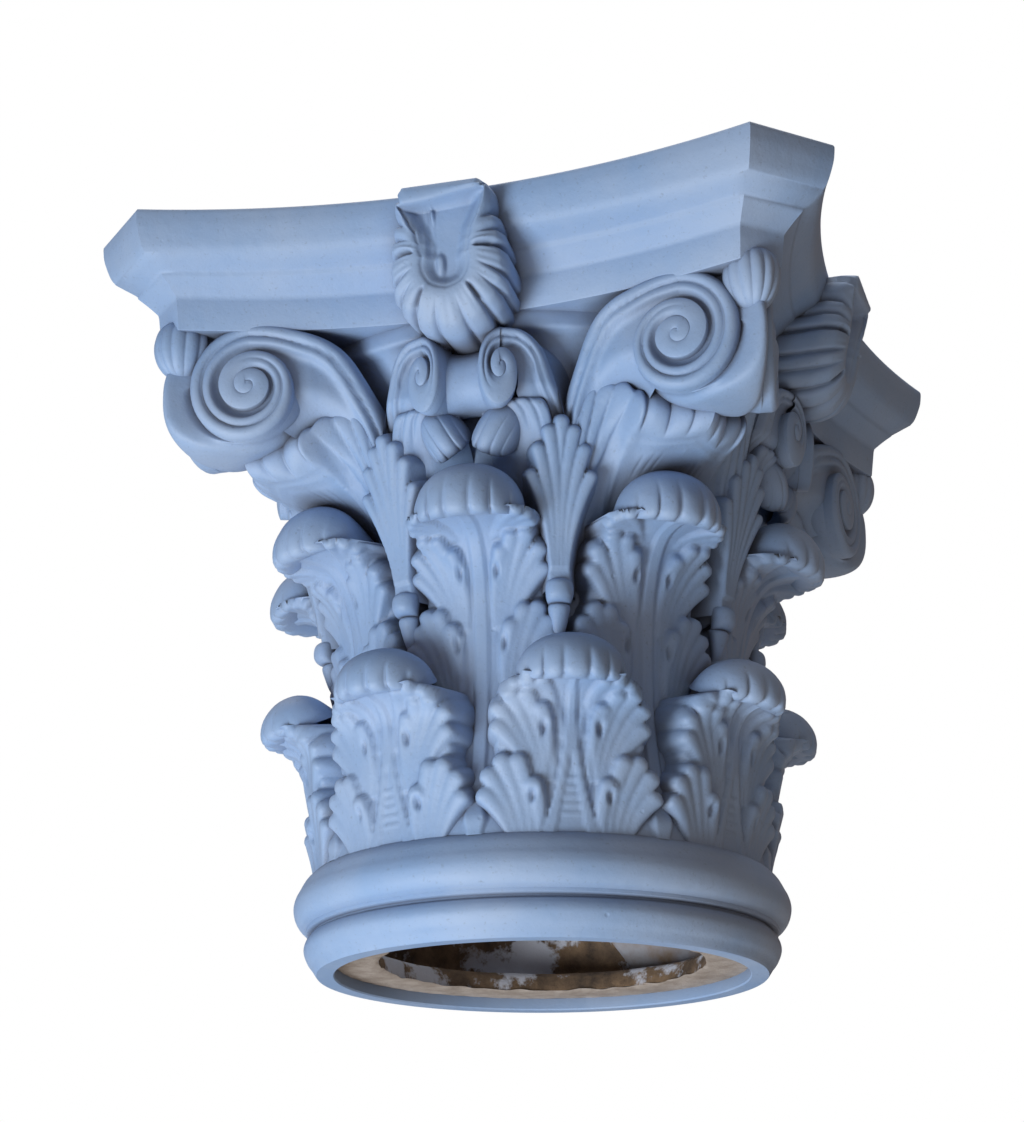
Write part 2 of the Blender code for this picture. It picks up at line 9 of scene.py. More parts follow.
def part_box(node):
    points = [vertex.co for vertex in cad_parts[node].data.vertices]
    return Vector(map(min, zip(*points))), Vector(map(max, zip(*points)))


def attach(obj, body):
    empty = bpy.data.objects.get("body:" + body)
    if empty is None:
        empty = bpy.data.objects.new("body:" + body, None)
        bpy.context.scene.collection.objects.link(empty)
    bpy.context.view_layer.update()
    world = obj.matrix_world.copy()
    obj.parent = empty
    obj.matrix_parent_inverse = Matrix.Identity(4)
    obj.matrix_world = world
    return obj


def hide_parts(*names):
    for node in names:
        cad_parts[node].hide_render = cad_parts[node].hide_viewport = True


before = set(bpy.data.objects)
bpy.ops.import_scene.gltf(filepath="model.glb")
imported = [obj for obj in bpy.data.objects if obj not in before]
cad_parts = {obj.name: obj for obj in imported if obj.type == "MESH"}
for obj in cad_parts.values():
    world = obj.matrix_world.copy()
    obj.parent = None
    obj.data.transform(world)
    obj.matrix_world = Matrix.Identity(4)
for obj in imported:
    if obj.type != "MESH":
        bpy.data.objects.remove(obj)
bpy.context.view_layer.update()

bl_info = {
    "name": "Corinthian Capital Dresser",
    "version": (1, 0, 0),
    "blender": (4, 5, 0),
    "location": "3D View > Sidebar > Capital",
    "description": "Builds the carved skin and the paint of a hollow cast Corinthian column capital",
    "category": "Object",
}

NODE = "capital"
CAD_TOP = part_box(NODE)[1][2]
SIDES = 4
LEAVES = 8
LENGTH = {"subtype": 'DISTANCE', "unit": 'LENGTH'}


class RingSizes(bpy.types.PropertyGroup):
    """Moulded ring at the foot, its recess and the open mouth."""
    bead_radius: FloatProperty(name="Bead radius", description="Outermost radius of the large round bead",
                               default=0.200, min=0.15, max=0.25, **LENGTH)
    rim_radius: FloatProperty(name="Rim radius", description="Outer radius of the flat rim that stands down",
                              default=0.1815, min=0.15, max=0.25, **LENGTH)
    recess_radius: FloatProperty(name="Recess radius", description="Radius of the shallow recess in the rim",
                                 default=0.166, min=0.12, max=0.18, **LENGTH)
    recess_depth: FloatProperty(name="Recess depth", description="Height of the recess face above the rim",
                                default=0.010, min=0.002, max=0.02, **LENGTH)
    mouth_radius: FloatProperty(name="Mouth radius", description="Radius of the open mouth in the recess",
                                default=0.131, min=0.08, max=0.15, **LENGTH)
    flange: FloatProperty(name="Flange thickness", description="Thickness of the casting round the mouth",
                          default=0.016, min=0.008, max=0.03, **LENGTH)
    wall: FloatProperty(name="Wall thickness", description="Thickness of the bell's wall",
                        default=0.018, min=0.008, max=0.03, **LENGTH)
    top_mouth_radius: FloatProperty(name="Top mouth radius", description="Radius of the opening in the top",
                                    default=0.185, min=0.1, max=0.2, **LENGTH)


class LeafSizes(bpy.types.PropertyGroup):
    """The two rows of leaves."""
    low_half: FloatProperty(name="Lower tip half width", description="Half the width of a lower leaf's tip",
                            default=0.0445, min=0.03, max=0.06, **LENGTH)
    high_half: FloatProperty(name="Upper tip half width", description="Half an upper leaf's width at its tip",
                             default=0.0455, min=0.03, max=0.06, **LENGTH)
    finger_rise: FloatProperty(name="Finger rise", description="How round each finger of a leaf is",
                               default=0.0036, min=0.0, max=0.01, **LENGTH)
    lobe_lift: FloatProperty(name="Lobe lift", description="How far the tips of a lobe stand out",
                             default=0.0050, min=0.0, max=0.015, **LENGTH)


class SpiralSizes(bpy.types.PropertyGroup):
    """Corner volutes and the small inner spirals."""
    volute: FloatProperty(name="Volute radius", description="Radius of a volute at its top, from the eye",
                          default=0.0540, min=0.03, max=0.07, **LENGTH)
    volute_turns: FloatProperty(name="Volute turns", description="Turns of the volute's band to its eye",
                                default=3.1, min=1.0, max=3.5)
    helix: FloatProperty(name="Inner spiral radius", description="Radius of an inner spiral at its top",
                         default=0.0335, min=0.02, max=0.045, **LENGTH)
    helix_turns: FloatProperty(name="Inner spiral turns", description="Turns of an inner spiral's band",
                               default=2.1, min=1.0, max=3.0)
    roll: FloatProperty(name="Roll", description="How far the round edge of the band stands out",
                        default=0.0052, min=0.0, max=0.01, **LENGTH)


class AbacusSizes(bpy.types.PropertyGroup):
    """Concave slab on top and what is carved on it."""
    half: FloatProperty(name="Half width", description="Half the width of the slab between its corners",
                        default=0.3008, min=0.25, max=0.35, **LENGTH)
    corner_cut: FloatProperty(name="Corner cut", description="How much a cut corner takes from a side",
                              default=0.054, min=0.02, max=0.08, **LENGTH)
    sag: FloatProperty(name="Sag", description="How far each side bends in",
                       default=0.0417, min=0.0, max=0.06, **LENGTH)
    palmette_half: FloatProperty(name="Palmette half width", description="Half the width of each palmette",
                                 default=0.0452, min=0.03, max=0.07, **LENGTH)


class FinishColours(bpy.types.PropertyGroup):
    """Colours of the paint, the grime and painted shade in the hollows, and the bare casting inside."""
    paint: StringProperty(name="Paint", description="Pale blue grey paint, as an sRGB hex value",
                          default="82A5D3")
    paint_chalky: StringProperty(name="Chalky paint", description="Paint where it has weathered lighter",
                                 default="94B0D6")
    # this colour is the painted shade in the hollows of the carving as well as faint specks of dirt
    shade_and_grime: StringProperty(name="Grime", description="Brown grey dirt in the hollows of the carving",
                          default="4E4A4C")
    bare: StringProperty(name="Bare casting", description="Brown skin of the unpainted inside",
                         default="7A6650")
    bare_dark: StringProperty(name="Dark casting", description="Darkest brown of the unpainted inside",
                              default="3A3029")
    overspray: StringProperty(name="Overspray", description="Pale patches on the unpainted inside",
                              default="C2CCDE")
    core: StringProperty(name="Mould face", description="Grey of the smooth face inside",
                         default="959DAC")
    dust: StringProperty(name="Dust", description="Brown grey of the face round the mouth",
                         default="8B8784")
    dust_light: StringProperty(name="Light dust", description="Lighter patches of the face round the mouth",
                               default="A9A8A8")


class StageSettings(bpy.types.PropertyGroup):
    """Floor, light and camera."""
    overhead_power: FloatProperty(name="Overhead light", description="Power of the wide light from above",
                                  default=95.0, min=0.0, unit='POWER')
    bounce_power: FloatProperty(name="Bounce light", description="Power of the weak warm light from below",
                                default=17.0, min=0.0, unit='POWER')
    floor_colour: StringProperty(name="Floor", description="Plain pale floor, as an sRGB hex value",
                                 default="E9E8E6")
    floor_width: FloatProperty(name="Floor width", description="Side of the square floor",
                               default=8.0, min=1.0, max=30.0, **LENGTH)
    key_power: FloatProperty(name="Key light", description="Power of the light from the lower front left",
                             default=70.0, min=0.0, max=1000.0, unit='POWER')
    fill_power: FloatProperty(name="Fill light", description="Power of the soft light from the upper front",
                              default=5.0, min=0.0, max=1000.0, unit='POWER')
    sky: FloatProperty(name="Surround", description="Strength of the warm surround", default=0.18, min=0.0,
                       max=3.0)
    camera_place: FloatVectorProperty(name="Camera place", description="Where the camera stands",
                                      default=(0.5296, -1.884, -0.3256), subtype='XYZ', unit='LENGTH')
    camera_lens: FloatProperty(name="Lens", description="Focal length of the camera in mm",
                               default=78.46, min=20.0, max=200.0)


def linear(code):
    """Linear RGBA of an sRGB hex value."""
    parts = [int(code[k:k + 2], 16) / 255 for k in (0, 2, 4)]
    return [c / 12.92 if c <= 0.04045 else ((c + 0.055) / 1.055) ** 2.4 for c in parts] + [1.0]


def add_node(tree, kind, settings=(), links=()):
    """A node with its settings and sockets set, fed by the links given as (socket, output)."""
    made = tree.nodes.new(kind)
    for key, value in dict(settings).items():
        if isinstance(key, int) or key in made.inputs:
            made.inputs[key].default_value = value
        else:
            setattr(made, key, value)
    for socket, output in links:
        tree.links.new(output, made.inputs[socket])
    return made


def new_finish(name):
    """A new material of the casting, with its node tree, its shader and the piece's own coordinates."""
    made = bpy.data.materials.new(name)
    made.use_nodes = True
    tree = made.node_tree
    shader = tree.nodes["Principled BSDF"]
    shader.inputs["IOR"].default_value = 1.5
    shader.inputs["Metallic"].default_value = 0.0
    return made, tree, shader, add_node(tree, 'ShaderNodeTexCoord').outputs["Object"]


def two_tone(tree, place, noise, low, high, under, over):
    """One colour that turns into another where a noise rises: gives the noise and the colour."""
    cloud = add_node(tree, 'ShaderNodeTexNoise', noise, [("Vector", place)])
    share = add_node(tree, 'ShaderNodeMapRange', {"From Min": low, "From Max": high},
                     [("Value", cloud.outputs[0])])
    tone = add_node(tree, 'ShaderNodeMix', {"data_type": 'RGBA'}, [(0, share.outputs[0])])
    tone.inputs[6].default_value = linear(under)
    tone.inputs[7].default_value = linear(over)
    return cloud.outputs[0], tone.outputs[2]


def painted_casting():
    """Painted casting: matt to satin pale blue grey, chalky in places, with painted shade in the hollows and
    faint specks of dirt.
    """
    made = bpy.data.materials.get("painted_casting_skin")
    if made:
        return made
    colours = bpy.context.scene.capital_colours
    made, tree, shader, place = new_finish("painted_casting_skin")
    # weathering changes over about a hand's width
    cloud, paint = two_tone(tree, place, {"Scale": 9.0, "Detail": 5.0, "Roughness": 0.6}, 0.35, 0.68,
                            colours.paint, colours.paint_chalky)
    # faint specks of dirt, 2 to 4 mm
    speck = add_node(tree, 'ShaderNodeTexNoise', {"Scale": 300.0, "Detail": 3.0, "Roughness": 0.7},
                     [("Vector", place)])
    speck_mask = add_node(tree, 'ShaderNodeMapRange', {"From Min": 0.60, "From Max": 0.78, "To Max": 0.35},
                          [("Value", speck.outputs[0])])
    # painted shade: the paint darkens towards the grime colour in hollows narrower than about 20 mm, as found
    # by occlusion
    hollow = add_node(tree, 'ShaderNodeAmbientOcclusion', {"samples": 6, "Distance": 0.022})
    hollow_shade_mask = add_node(tree, 'ShaderNodeMapRange',
                          {"From Min": 0.20, "From Max": 0.85, "To Min": 0.80, "To Max": 0.0},
                          [("Value", hollow.outputs["AO"])])
    shade_and_grime = add_node(tree, 'ShaderNodeMath', {"operation": 'MAXIMUM'},
                     [(0, hollow_shade_mask.outputs[0]), (1, speck_mask.outputs[0])])
    # painted shade in the hollows and faint specks of dirt both turn the paint to the grime colour
    paint_with_shade_and_grime = add_node(tree, 'ShaderNodeMix', {"data_type": 'RGBA'}, [(0, shade_and_grime.outputs[0]), (6, paint)])
    paint_with_shade_and_grime.inputs[7].default_value = linear(colours.shade_and_grime)
    tree.links.new(paint_with_shade_and_grime.outputs[2], shader.inputs["Base Color"])
    rough = add_node(tree, 'ShaderNodeMapRange', {"To Min": 0.46, "To Max": 0.66}, [("Value", cloud)])
    tree.links.new(rough.outputs[0], shader.inputs["Roughness"])
    # the casting's grain is about 0.5 mm, drawn as about 2 mm so that it shows
    grain = add_node(tree, 'ShaderNodeTexNoise', {"Scale": 420.0, "Detail": 4.0, "Roughness": 0.55},
                     [("Vector", place)])
    # brush drag and old drips under the paint, about 8 mm
    drag = add_node(tree, 'ShaderNodeTexNoise', {"Scale": 110.0, "Detail": 2.0}, [("Vector", place)])
    relief = add_node(tree, 'ShaderNodeMath', {"operation": 'MULTIPLY_ADD', 1: 0.45},
                      [(0, grain.outputs[0]), (2, drag.outputs[0])])
    # blow holes of about 2 mm, few and far apart
    cells = add_node(tree, 'ShaderNodeTexVoronoi', {"Scale": 34.0}, [("Vector", place)])
    hole = add_node(tree, 'ShaderNodeMapRange',
                    {"From Min": 0.02, "From Max": 0.07, "To Min": -1.2, "To Max": 0.0},
                    [("Value", cells.outputs["Distance"])])
    surface = add_node(tree, 'ShaderNodeMath', {"operation": 'ADD'},
                       [(0, relief.outputs[0]), (1, hole.outputs[0])])
    bump = add_node(tree, 'ShaderNodeBump', {"Strength": 0.30, "Distance": 0.0012},
                    [("Height", surface.outputs[0])])
    tree.links.new(bump.outputs[0], shader.inputs["Normal"])
    return made


def bare_casting():
    """Unpainted brown casting skin inside, with overspray of the paint in patches."""
    made = bpy.data.materials.get("bare_casting_skin")
    if made:
        return made
    colours = bpy.context.scene.capital_colours
    made, tree, shader, place = new_finish("bare_casting_skin")
    # brown stains of about 30 mm
    _, skin = two_tone(tree, place, {"Scale": 28.0, "Detail": 8.0, "Roughness": 0.68}, 0.36, 0.62,
                       colours.bare_dark, colours.bare)
    # overspray lies in patches of about 50 mm with ragged edges
    patch = add_node(tree, 'ShaderNodeTexNoise', {"Scale": 16.0, "Detail": 8.0, "Roughness": 0.66},
                     [("Vector", place)])
    patch_mask = add_node(tree, 'ShaderNodeMapRange', {"From Min": 0.50, "From Max": 0.55, "To Max": 0.85},
                          [("Value", patch.outputs[0])])
    coat = add_node(tree, 'ShaderNodeMix', {"data_type": 'RGBA'}, [(0, patch_mask.outputs[0]), (6, skin)])
    coat.inputs[7].default_value = linear(colours.overspray)
    tree.links.new(coat.outputs[2], shader.inputs["Base Color"])
    shader.inputs["Roughness"].default_value = 0.78
    # pits of about 5 mm
    pits = add_node(tree, 'ShaderNodeTexNoise', {"Scale": 190.0, "Detail": 6.0, "Roughness": 0.7},
                    [("Vector", place)])
    bump = add_node(tree, 'ShaderNodeBump', {"Strength": 0.7, "Distance": 0.002},
                    [("Height", pits.outputs[0])])
    tree.links.new(bump.outputs[0], shader.inputs["Normal"])
    return made


def dusty_casting():
    """Thinly painted face round the mouth: rough, worn to a dusty brown grey."""
    made = bpy.data.materials.get("dusty_casting_face")
    if made:
        return made
    colours = bpy.context.scene.capital_colours
    made, tree, shader, place = new_finish("dusty_casting_face")
    # dust lies in blotches of about 15 mm
    _, dust = two_tone(tree, place, {"Scale": 60.0, "Detail": 8.0, "Roughness": 0.72}, 0.38, 0.66,
                       colours.dust, colours.dust_light)
    tree.links.new(dust, shader.inputs["Base Color"])
    shader.inputs["Roughness"].default_value = 0.85
    # grit of about 1 mm, drawn as about 3 mm so that it shows
    grit = add_node(tree, 'ShaderNodeTexNoise', {"Scale": 330.0, "Detail": 5.0, "Roughness": 0.7},
                    [("Vector", place)])
    bump = add_node(tree, 'ShaderNodeBump', {"Strength": 0.6, "Distance": 0.0016},
                    [("Height", grit.outputs[0])])
    tree.links.new(bump.outputs[0], shader.inputs["Normal"])
    return made


def core_casting():
    """Smooth grey skin that a piece of the mould left inside."""
    made = bpy.data.materials.get("core_casting_face")
    if made:
        return made
    colours = bpy.context.scene.capital_colours
    made, tree, shader, place = new_finish("core_casting_face")
    # stains about 40 mm wide
    _, skin = two_tone(tree, place, {"Scale": 22.0, "Detail": 6.0, "Roughness": 0.6}, 0.40, 0.66,
                       colours.core, colours.bare)
    tree.links.new(skin, shader.inputs["Base Color"])
    shader.inputs["Roughness"].default_value = 0.7
    return made


def knot_line(knots, between):
    """Smooth line through knots, with as many points between each two of them."""
    knots = np.array(knots, float)
    ends = np.vstack([2 * knots[0] - knots[1], knots, 2 * knots[-1] - knots[-2]])
    t = np.linspace(0, 1, between, endpoint=False)[:, None]
    runs = []
    for a, b, c, d in zip(ends, ends[1:], ends[2:], ends[3:]):
        square, cube = 2 * a - 5 * b + 4 * c - d, 3 * b - a - 3 * c + d
        runs.append(0.5 * (2 * b + (c - a) * t + square * t ** 2 + cube * t ** 3))
    return np.vstack(runs + [knots[-1:]])


def smooth_line(knots, count):
    """Evenly spaced points on a smooth line through knots."""
    line = knot_line(knots, 24)
    run = np.concatenate([[0], np.cumsum(np.linalg.norm(np.diff(line, axis=0), axis=1))])
    at = np.linspace(0, run[-1], count)
    return np.stack([np.interp(at, run, line[:, k]) for k in range(line.shape[1])], -1)


def lofted(stations, places, at, between):
    """Profiles of (radius, height) blended smoothly between stations at their places."""
    lines = np.array([knot_line(knots, between) for knots in stations])
    places = np.array(places, float)
    slopes = np.gradient(lines, places, axis=0)
    k = np.clip(np.searchsorted(places, at) - 1, 0, len(places) - 2)
    gap = (places[k + 1] - places[k])[:, None, None]
    t = ((at - places[k]) / (places[k + 1] - places[k]))[:, None, None]
    made = (lines[k] * (2 * t ** 3 - 3 * t ** 2 + 1) + lines[k + 1] * (3 * t ** 2 - 2 * t ** 3)
            + gap * (slopes[k] * (t ** 3 - 2 * t ** 2 + t) + slopes[k + 1] * (t ** 3 - t ** 2)))
    return made.transpose(1, 0, 2)


def ease(x, low=0.0, high=1.0):
    """Smooth step from 0 at low to 1 at high."""
    t = np.clip((x - low) / (high - low), 0, 1)
    return t * t * (3 - 2 * t)


def grid(points, loop=False):
    """Skin over rows and columns of points: it looks out where columns run right and rows run up."""
    rows, cols = points.shape[:2]
    i = np.arange(rows - 1)[:, None] * cols
    j = np.arange(cols if loop else cols - 1)[None, :]
    k = (j + 1) % cols
    faces = np.stack([i + j, i + k, i + cols + k, i + cols + j], -1).reshape(-1, 4)
    return points.reshape(-1, 3), faces


def joined(skins):
    """Several skins as one."""
    points, faces, start = [], [], 0
    for p, f in skins:
        points.append(p)
        faces.append(f + start)
        start += len(p)
    return np.vstack(points), np.vstack(faces)


def spun(skin, angle):
    """A skin turned round the axis."""
    points, faces = skin
    c, s = math.cos(angle), math.sin(angle)
    return points @ np.array([[c, s, 0], [-s, c, 0], [0, 0, 1]]), faces


def mirrored(skin):
    """A skin on the other side of the front face's centre plane."""
    points, faces = skin
    return points * np.array([-1.0, 1.0, 1.0]), faces[:, ::-1]


def flipped(skin):
    """A skin that looks the other way."""
    return skin[0], skin[1][:, ::-1]


def polar(radius, angle, z):
    """Points at radii and angles round the axis."""
    return np.stack([radius * np.cos(angle), radius * np.sin(angle), z + 0 * radius], -1)


def make_piece(name, skin, finish):
    """A smooth shaded piece of the capital from a skin."""
    points, faces = skin
    data = bpy.data.meshes.new(name)
    data.vertices.add(len(points))
    data.vertices.foreach_set("co", np.ascontiguousarray(points, dtype=np.float32).ravel())
    data.loops.add(faces.size)
    data.loops.foreach_set("vertex_index", np.ascontiguousarray(faces, dtype=np.int32).ravel())
    data.polygons.add(len(faces))
    data.polygons.foreach_set("loop_start", np.arange(0, faces.size, 4, dtype=np.int32))
    data.polygons.foreach_set("loop_total", np.full(len(faces), 4, dtype=np.int32))
    data.update(calc_edges=True)
    data.validate()
    data.shade_smooth()
    data.materials.append(finish)
    piece = bpy.data.objects.new(name, data)
    bpy.context.scene.collection.objects.link(piece)
    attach(piece, "root")
    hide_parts(NODE)
    return piece


def turned_skin(section, steps):
    """Skin of revolution of a section of (radius, height) that runs up with the outside on its right."""
    angle = 2 * math.pi * np.arange(steps) / steps
    radius = section[:, :1] + 0 * angle
    return grid(polar(radius, angle[None, :] + 0 * radius, section[:, 1:2]), loop=True)


# the plain bell behind the leaves, and the underside of the slab
BELL_FOOT_R = 0.1800
BELL_FOOT_Z = 0.080
BELL_WAIST_R = 0.1525
BELL_WAIST_Z = 0.265
LIP_R = 0.215
LIP_Z = 0.472
BELL_TOP_R = LIP_R - 0.008
SOFFIT_Z = 0.486
# how far the skins outside and the lining inside reach into the bell's wall
WALL_BITE = 0.004


def bell_radius(z):
    """Radius of the plain bell behind the leaves."""
    z = np.asarray(z, float)
    low = np.clip((BELL_WAIST_Z - z) / (BELL_WAIST_Z - BELL_FOOT_Z), 0, None) ** 1.6
    high = np.clip((z - BELL_WAIST_Z) / (LIP_Z - BELL_WAIST_Z), 0, 1) ** 2.4
    return BELL_WAIST_R + (BELL_FOOT_R - BELL_WAIST_R) * low + (BELL_TOP_R - BELL_WAIST_R) * high


def kept_outside(skin):
    """Stop a skin in the bell's wall, so that nothing of it stands in the hollow."""
    points = skin[0].copy()
    radius = np.hypot(points[:, 0], points[:, 1])
    least = bell_radius(np.clip(points[:, 2], BELL_FOOT_Z, LIP_Z)) - WALL_BITE
    scale = np.where(points[:, 2] < SOFFIT_Z, np.maximum(least / radius, 1.0), 1.0)
    points[:, :2] *= scale[:, None]
    return points, skin[1]


def make_round(count, first, skins):
    """Painted pieces spaced evenly round the axis, with the first one at this share of a space."""
    for k in range(count):
        angle = (k + first) * 2 * math.pi / count
        for name, skin in skins.items():
            make_piece(f"{name}_{k + 1}", kept_outside(spun(skin, angle)), painted_casting())


# where the mouth's edge has broken away: azimuth and half width in degrees, depth
CHIPS = ((72, 5, 0.0030), (84, 3, 0.0022), (57, 3, 0.0025), (318, 4, 0.0040), (101, 4, 0.0016))


class CAPITAL_OT_ring(bpy.types.Operator):
    """Make the moulded ring with its recess and mouth"""
    bl_idname = "capital.ring"
    bl_label = "Foot Ring"

    def execute(self, context):
        ring = context.scene.capital_ring
        rim, bead, recess = ring.rim_radius, ring.bead_radius, ring.recess_radius
        inside = [(recess, ring.recess_depth), (recess, 0.0012), (recess + 0.0010, 0.0), (rim - 0.0010, 0.0)]
        outside = smooth_line([(rim, 0.0012), (rim + 0.0032, 0.0062), (rim + 0.0068, 0.0110),
                               (rim + 0.0095, 0.0180), (rim + 0.0088, 0.0235), (rim + 0.0060, 0.0283)], 26)
        groove = [(rim + 0.0036, 0.0296), (rim + 0.0034, 0.0312), (rim + 0.0072, 0.0318),
                  (rim + 0.0082, 0.0326), (rim + 0.0084, 0.0352)]
        roll = smooth_line([(rim + 0.0098, 0.0360), (bead - 0.0048, 0.0388), (bead - 0.0014, 0.0445),
                            (bead, 0.0520), (bead - 0.0014, 0.0585), (bead - 0.0040, 0.0635),
                            (bead - 0.0085, 0.0715), (bead - 0.0150, 0.0775), (bead - 0.0220, 0.0800)], 44)
        section = np.vstack([inside, outside, groove, roll])
        piece = make_piece("foot_ring", turned_skin(section, 160), painted_casting())
        piece.data.set_sharp_from_angle(angle=math.radians(38))
        make_piece("mouth_face", self.mouth_face(ring), dusty_casting())
        return {'FINISHED'}

    def mouth_face(self, ring):
        """Flat face round the mouth, with the chipped edge of the casting."""
        steps, rows = 320, 14
        angle = 2 * math.pi * np.arange(steps) / steps
        rng = np.random.default_rng(7)
        wave = sum(rng.normal() * np.sin(k * angle + rng.uniform(0, 6)) / k for k in range(3, 60)) * 0.0009
        chips = 0 * angle
        for place, wide, deep in CHIPS:
            gap = (np.degrees(angle) - place + 180) % 360 - 180
            chips += deep * np.exp(-(gap / wide) ** 4)
        share = np.linspace(0, 1, rows)[:, None] ** 1.5
        edge = (ring.mouth_radius + wave + chips)[None, :]
        radius = edge + (ring.recess_radius + 0.001 - edge) * share
        uneven = 1 + 0.5 * np.sin(23 * angle) * np.sin(7 * angle)
        worn = 0.0016 * np.exp(-(radius - edge) / 0.0025) * uneven
        ripple = 0.0003 * np.sin(19 * angle + 90 * radius) * np.sin(31 * angle - 300 * radius)
        height = ring.recess_depth + worn + ripple
        return grid(polar(radius, angle[None, :] + 0 * radius, height), loop=True)


# smooth face that the mould left inside: azimuth of its seam, lean of the seam per metre of height and
# span of the face in degrees, then how far it stands in from the lining and how deep its edges sink
JOINT_SEAM = 85.0
JOINT_LEAN = 220.0
JOINT_SPAN = 58.0
JOINT_PROUD = 0.0055
JOINT_SINK = 0.0080


def lining_radius(ring, z):
    """Radius of the rough inside, which reaches a little into the bell's wall."""
    return bell_radius(z) - ring.wall + WALL_BITE


class CAPITAL_OT_hollow(bpy.types.Operator):
    """Make the rough inside that shows through the mouth and the open top"""
    bl_idname = "capital.hollow"
    bl_label = "Hollow"

    def execute(self, context):
        ring = context.scene.capital_ring
        face, mouth, top_mouth = ring.recess_depth, ring.mouth_radius, ring.top_mouth_radius
        floor = face + ring.flange
        heights = np.linspace(LIP_Z - 0.01, floor + 0.006, 50)
        top = [(top_mouth, CAD_TOP - 0.001), (top_mouth, SOFFIT_Z)]
        wall = np.stack([lining_radius(ring, heights), heights], -1)
        foot = [(wall[-1][0] - 0.0025, floor + 0.003), (mouth + 0.0085, floor + 0.001),
                (mouth + 0.0040, floor - 0.003), (mouth + 0.0016, face + 0.0014)]
        skin = turned_skin(np.vstack([top, wall, foot]), 112)
        points = skin[0]
        angle = np.arctan2(points[:, 1], points[:, 0])
        lump = 0.0014 * np.sin(11 * angle + 40 * points[:, 2]) * np.sin(70 * points[:, 2] + 3 * angle)
        points[:, :2] *= (1 + lump / 0.15)[:, None]
        make_piece("hollow_lining", skin, bare_casting())
        make_piece("mould_joint", self.joint(ring), core_casting())
        return {'FINISHED'}

    def joint(self, ring):
        """Smooth face inside that a piece of the mould left, with its straight seam."""
        heights = np.linspace(0.20, 0.020, 40)
        share = np.linspace(0, 1, 30)[None, :]
        # the seam climbs aside
        seam = np.radians(JOINT_SEAM + JOINT_LEAN * np.clip(heights - 0.054, -0.04, 0.06))[:, None]
        angle = seam - share * math.radians(JOINT_SPAN)
        radius = lining_radius(ring, heights)[:, None] - JOINT_PROUD + 0 * angle
        radius = radius + JOINT_SINK * (1 - ease(share, 0.0, 0.03)) + JOINT_SINK * ease(share, 0.97, 1.0)
        return grid(polar(radius, angle, heights[:, None]))


class CAPITAL_OT_bell(bpy.types.Operator):
    """Make the plain bell and its lip behind the leaves"""
    bl_idname = "capital.bell"
    bl_label = "Bell"

    def execute(self, context):
        heights = np.linspace(BELL_FOOT_Z - 0.004, LIP_Z - 0.003, 40)
        wall = np.stack([bell_radius(heights), heights], -1)
        lip = smooth_line([(LIP_R - 0.004, LIP_Z - 0.001), (LIP_R - 0.0008, LIP_Z + 0.0008),
                           (LIP_R, LIP_Z + 0.004), (LIP_R, SOFFIT_Z + 0.003)], 12)
        make_piece("bell", turned_skin(np.vstack([wall, lip]), 128), painted_casting())
        return {'FINISHED'}


def side_outline(sizes, inset, steps):
    """Plan of one concave side of the slab and its cut corner, at an inset from the top edge."""
    half = sizes.half - inset
    width = sizes.half - sizes.corner_cut - inset * math.tan(math.pi / 8)
    radius = (width ** 2 + sizes.sag ** 2) / (2 * sizes.sag)
    x = width * np.linspace(-1, 1, steps)
    y = -half + np.sqrt(radius ** 2 - x ** 2) - (radius - sizes.sag)
    return np.stack([x, y], -1)


class CAPITAL_OT_abacus(bpy.types.Operator):
    """Make the concave slab on top"""
    bl_idname = "capital.abacus"
    bl_label = "Abacus"

    def execute(self, context):
        sizes = context.scene.capital_abacus
        top = CAD_TOP
        fascia = [(0.1000, SOFFIT_Z), (0.0480, SOFFIT_Z), (0.0472, SOFFIT_Z + 0.0008), (0.0445, 0.5105)]
        cove = smooth_line([(0.0437, 0.5132), (0.0400, 0.5168), (0.0345, 0.5218), (0.0280, 0.5272),
                            (0.0272, 0.5292), (0.0180, 0.5345)], 16)
        ovolo = smooth_line([(0.0112, 0.5384), (0.0075, 0.5432), (0.0042, 0.5510), (0.0014, 0.5600),
                             (0.0004, 0.5680), (0.0004, 0.5715), (0.0014, top)], 20)
        section = np.vstack([fascia, cove, ovolo])
        steps = 41
        rows = []
        for inset, z in section:
            side = side_outline(sizes, inset, steps)
            turns = []
            for k in range(SIDES):
                c, s = math.cos(k * math.pi / 2), math.sin(k * math.pi / 2)
                turns.append(side @ np.array([[c, s], [-s, c]]))
            plan = np.vstack(turns)
            rows.append(np.column_stack([plan, np.full(len(plan), z)]))
        angle = np.arctan2(rows[-1][:, 1], rows[-1][:, 0])
        mouth = context.scene.capital_ring.top_mouth_radius
        rows.append(polar(np.full(len(angle), mouth + 0.001), angle, top))
        rows.append(polar(np.full(len(angle), mouth), angle, top - 0.001))
        piece = make_piece("abacus", grid(np.array(rows), loop=True), painted_casting())
        piece.data.set_sharp_from_angle(angle=math.radians(40))
        return {'FINISHED'}


def finger_height(u, v, base, tip, narrow, wide, rise, lift, bow):
    """Height of one rounded finger of a lobe over the leaf, lowest far from it."""
    span = np.array(tip, float) - np.array(base, float)
    length = np.linalg.norm(span)
    way = span / length
    reach = length - wide
    along = np.clip(((u - base[0]) * way[0] + (v - base[1]) * way[1]) / reach, 0, 1)
    shift = bow * 4 * along * (1 - along)
    cu = base[0] + way[0] * reach * along - way[1] * shift
    cv = base[1] + way[1] * reach * along + way[0] * shift
    away = np.hypot(u - cu, v - cv)
    width = narrow + (wide - narrow) * along ** 0.75
    q = away / width
    crown = np.sqrt(np.clip(1 - q * q, 0, 1))
    return lift * along ** 1.7 + rise * (0.35 + 0.65 * along) * crown - np.clip(away - width, 0, None) * 3.2


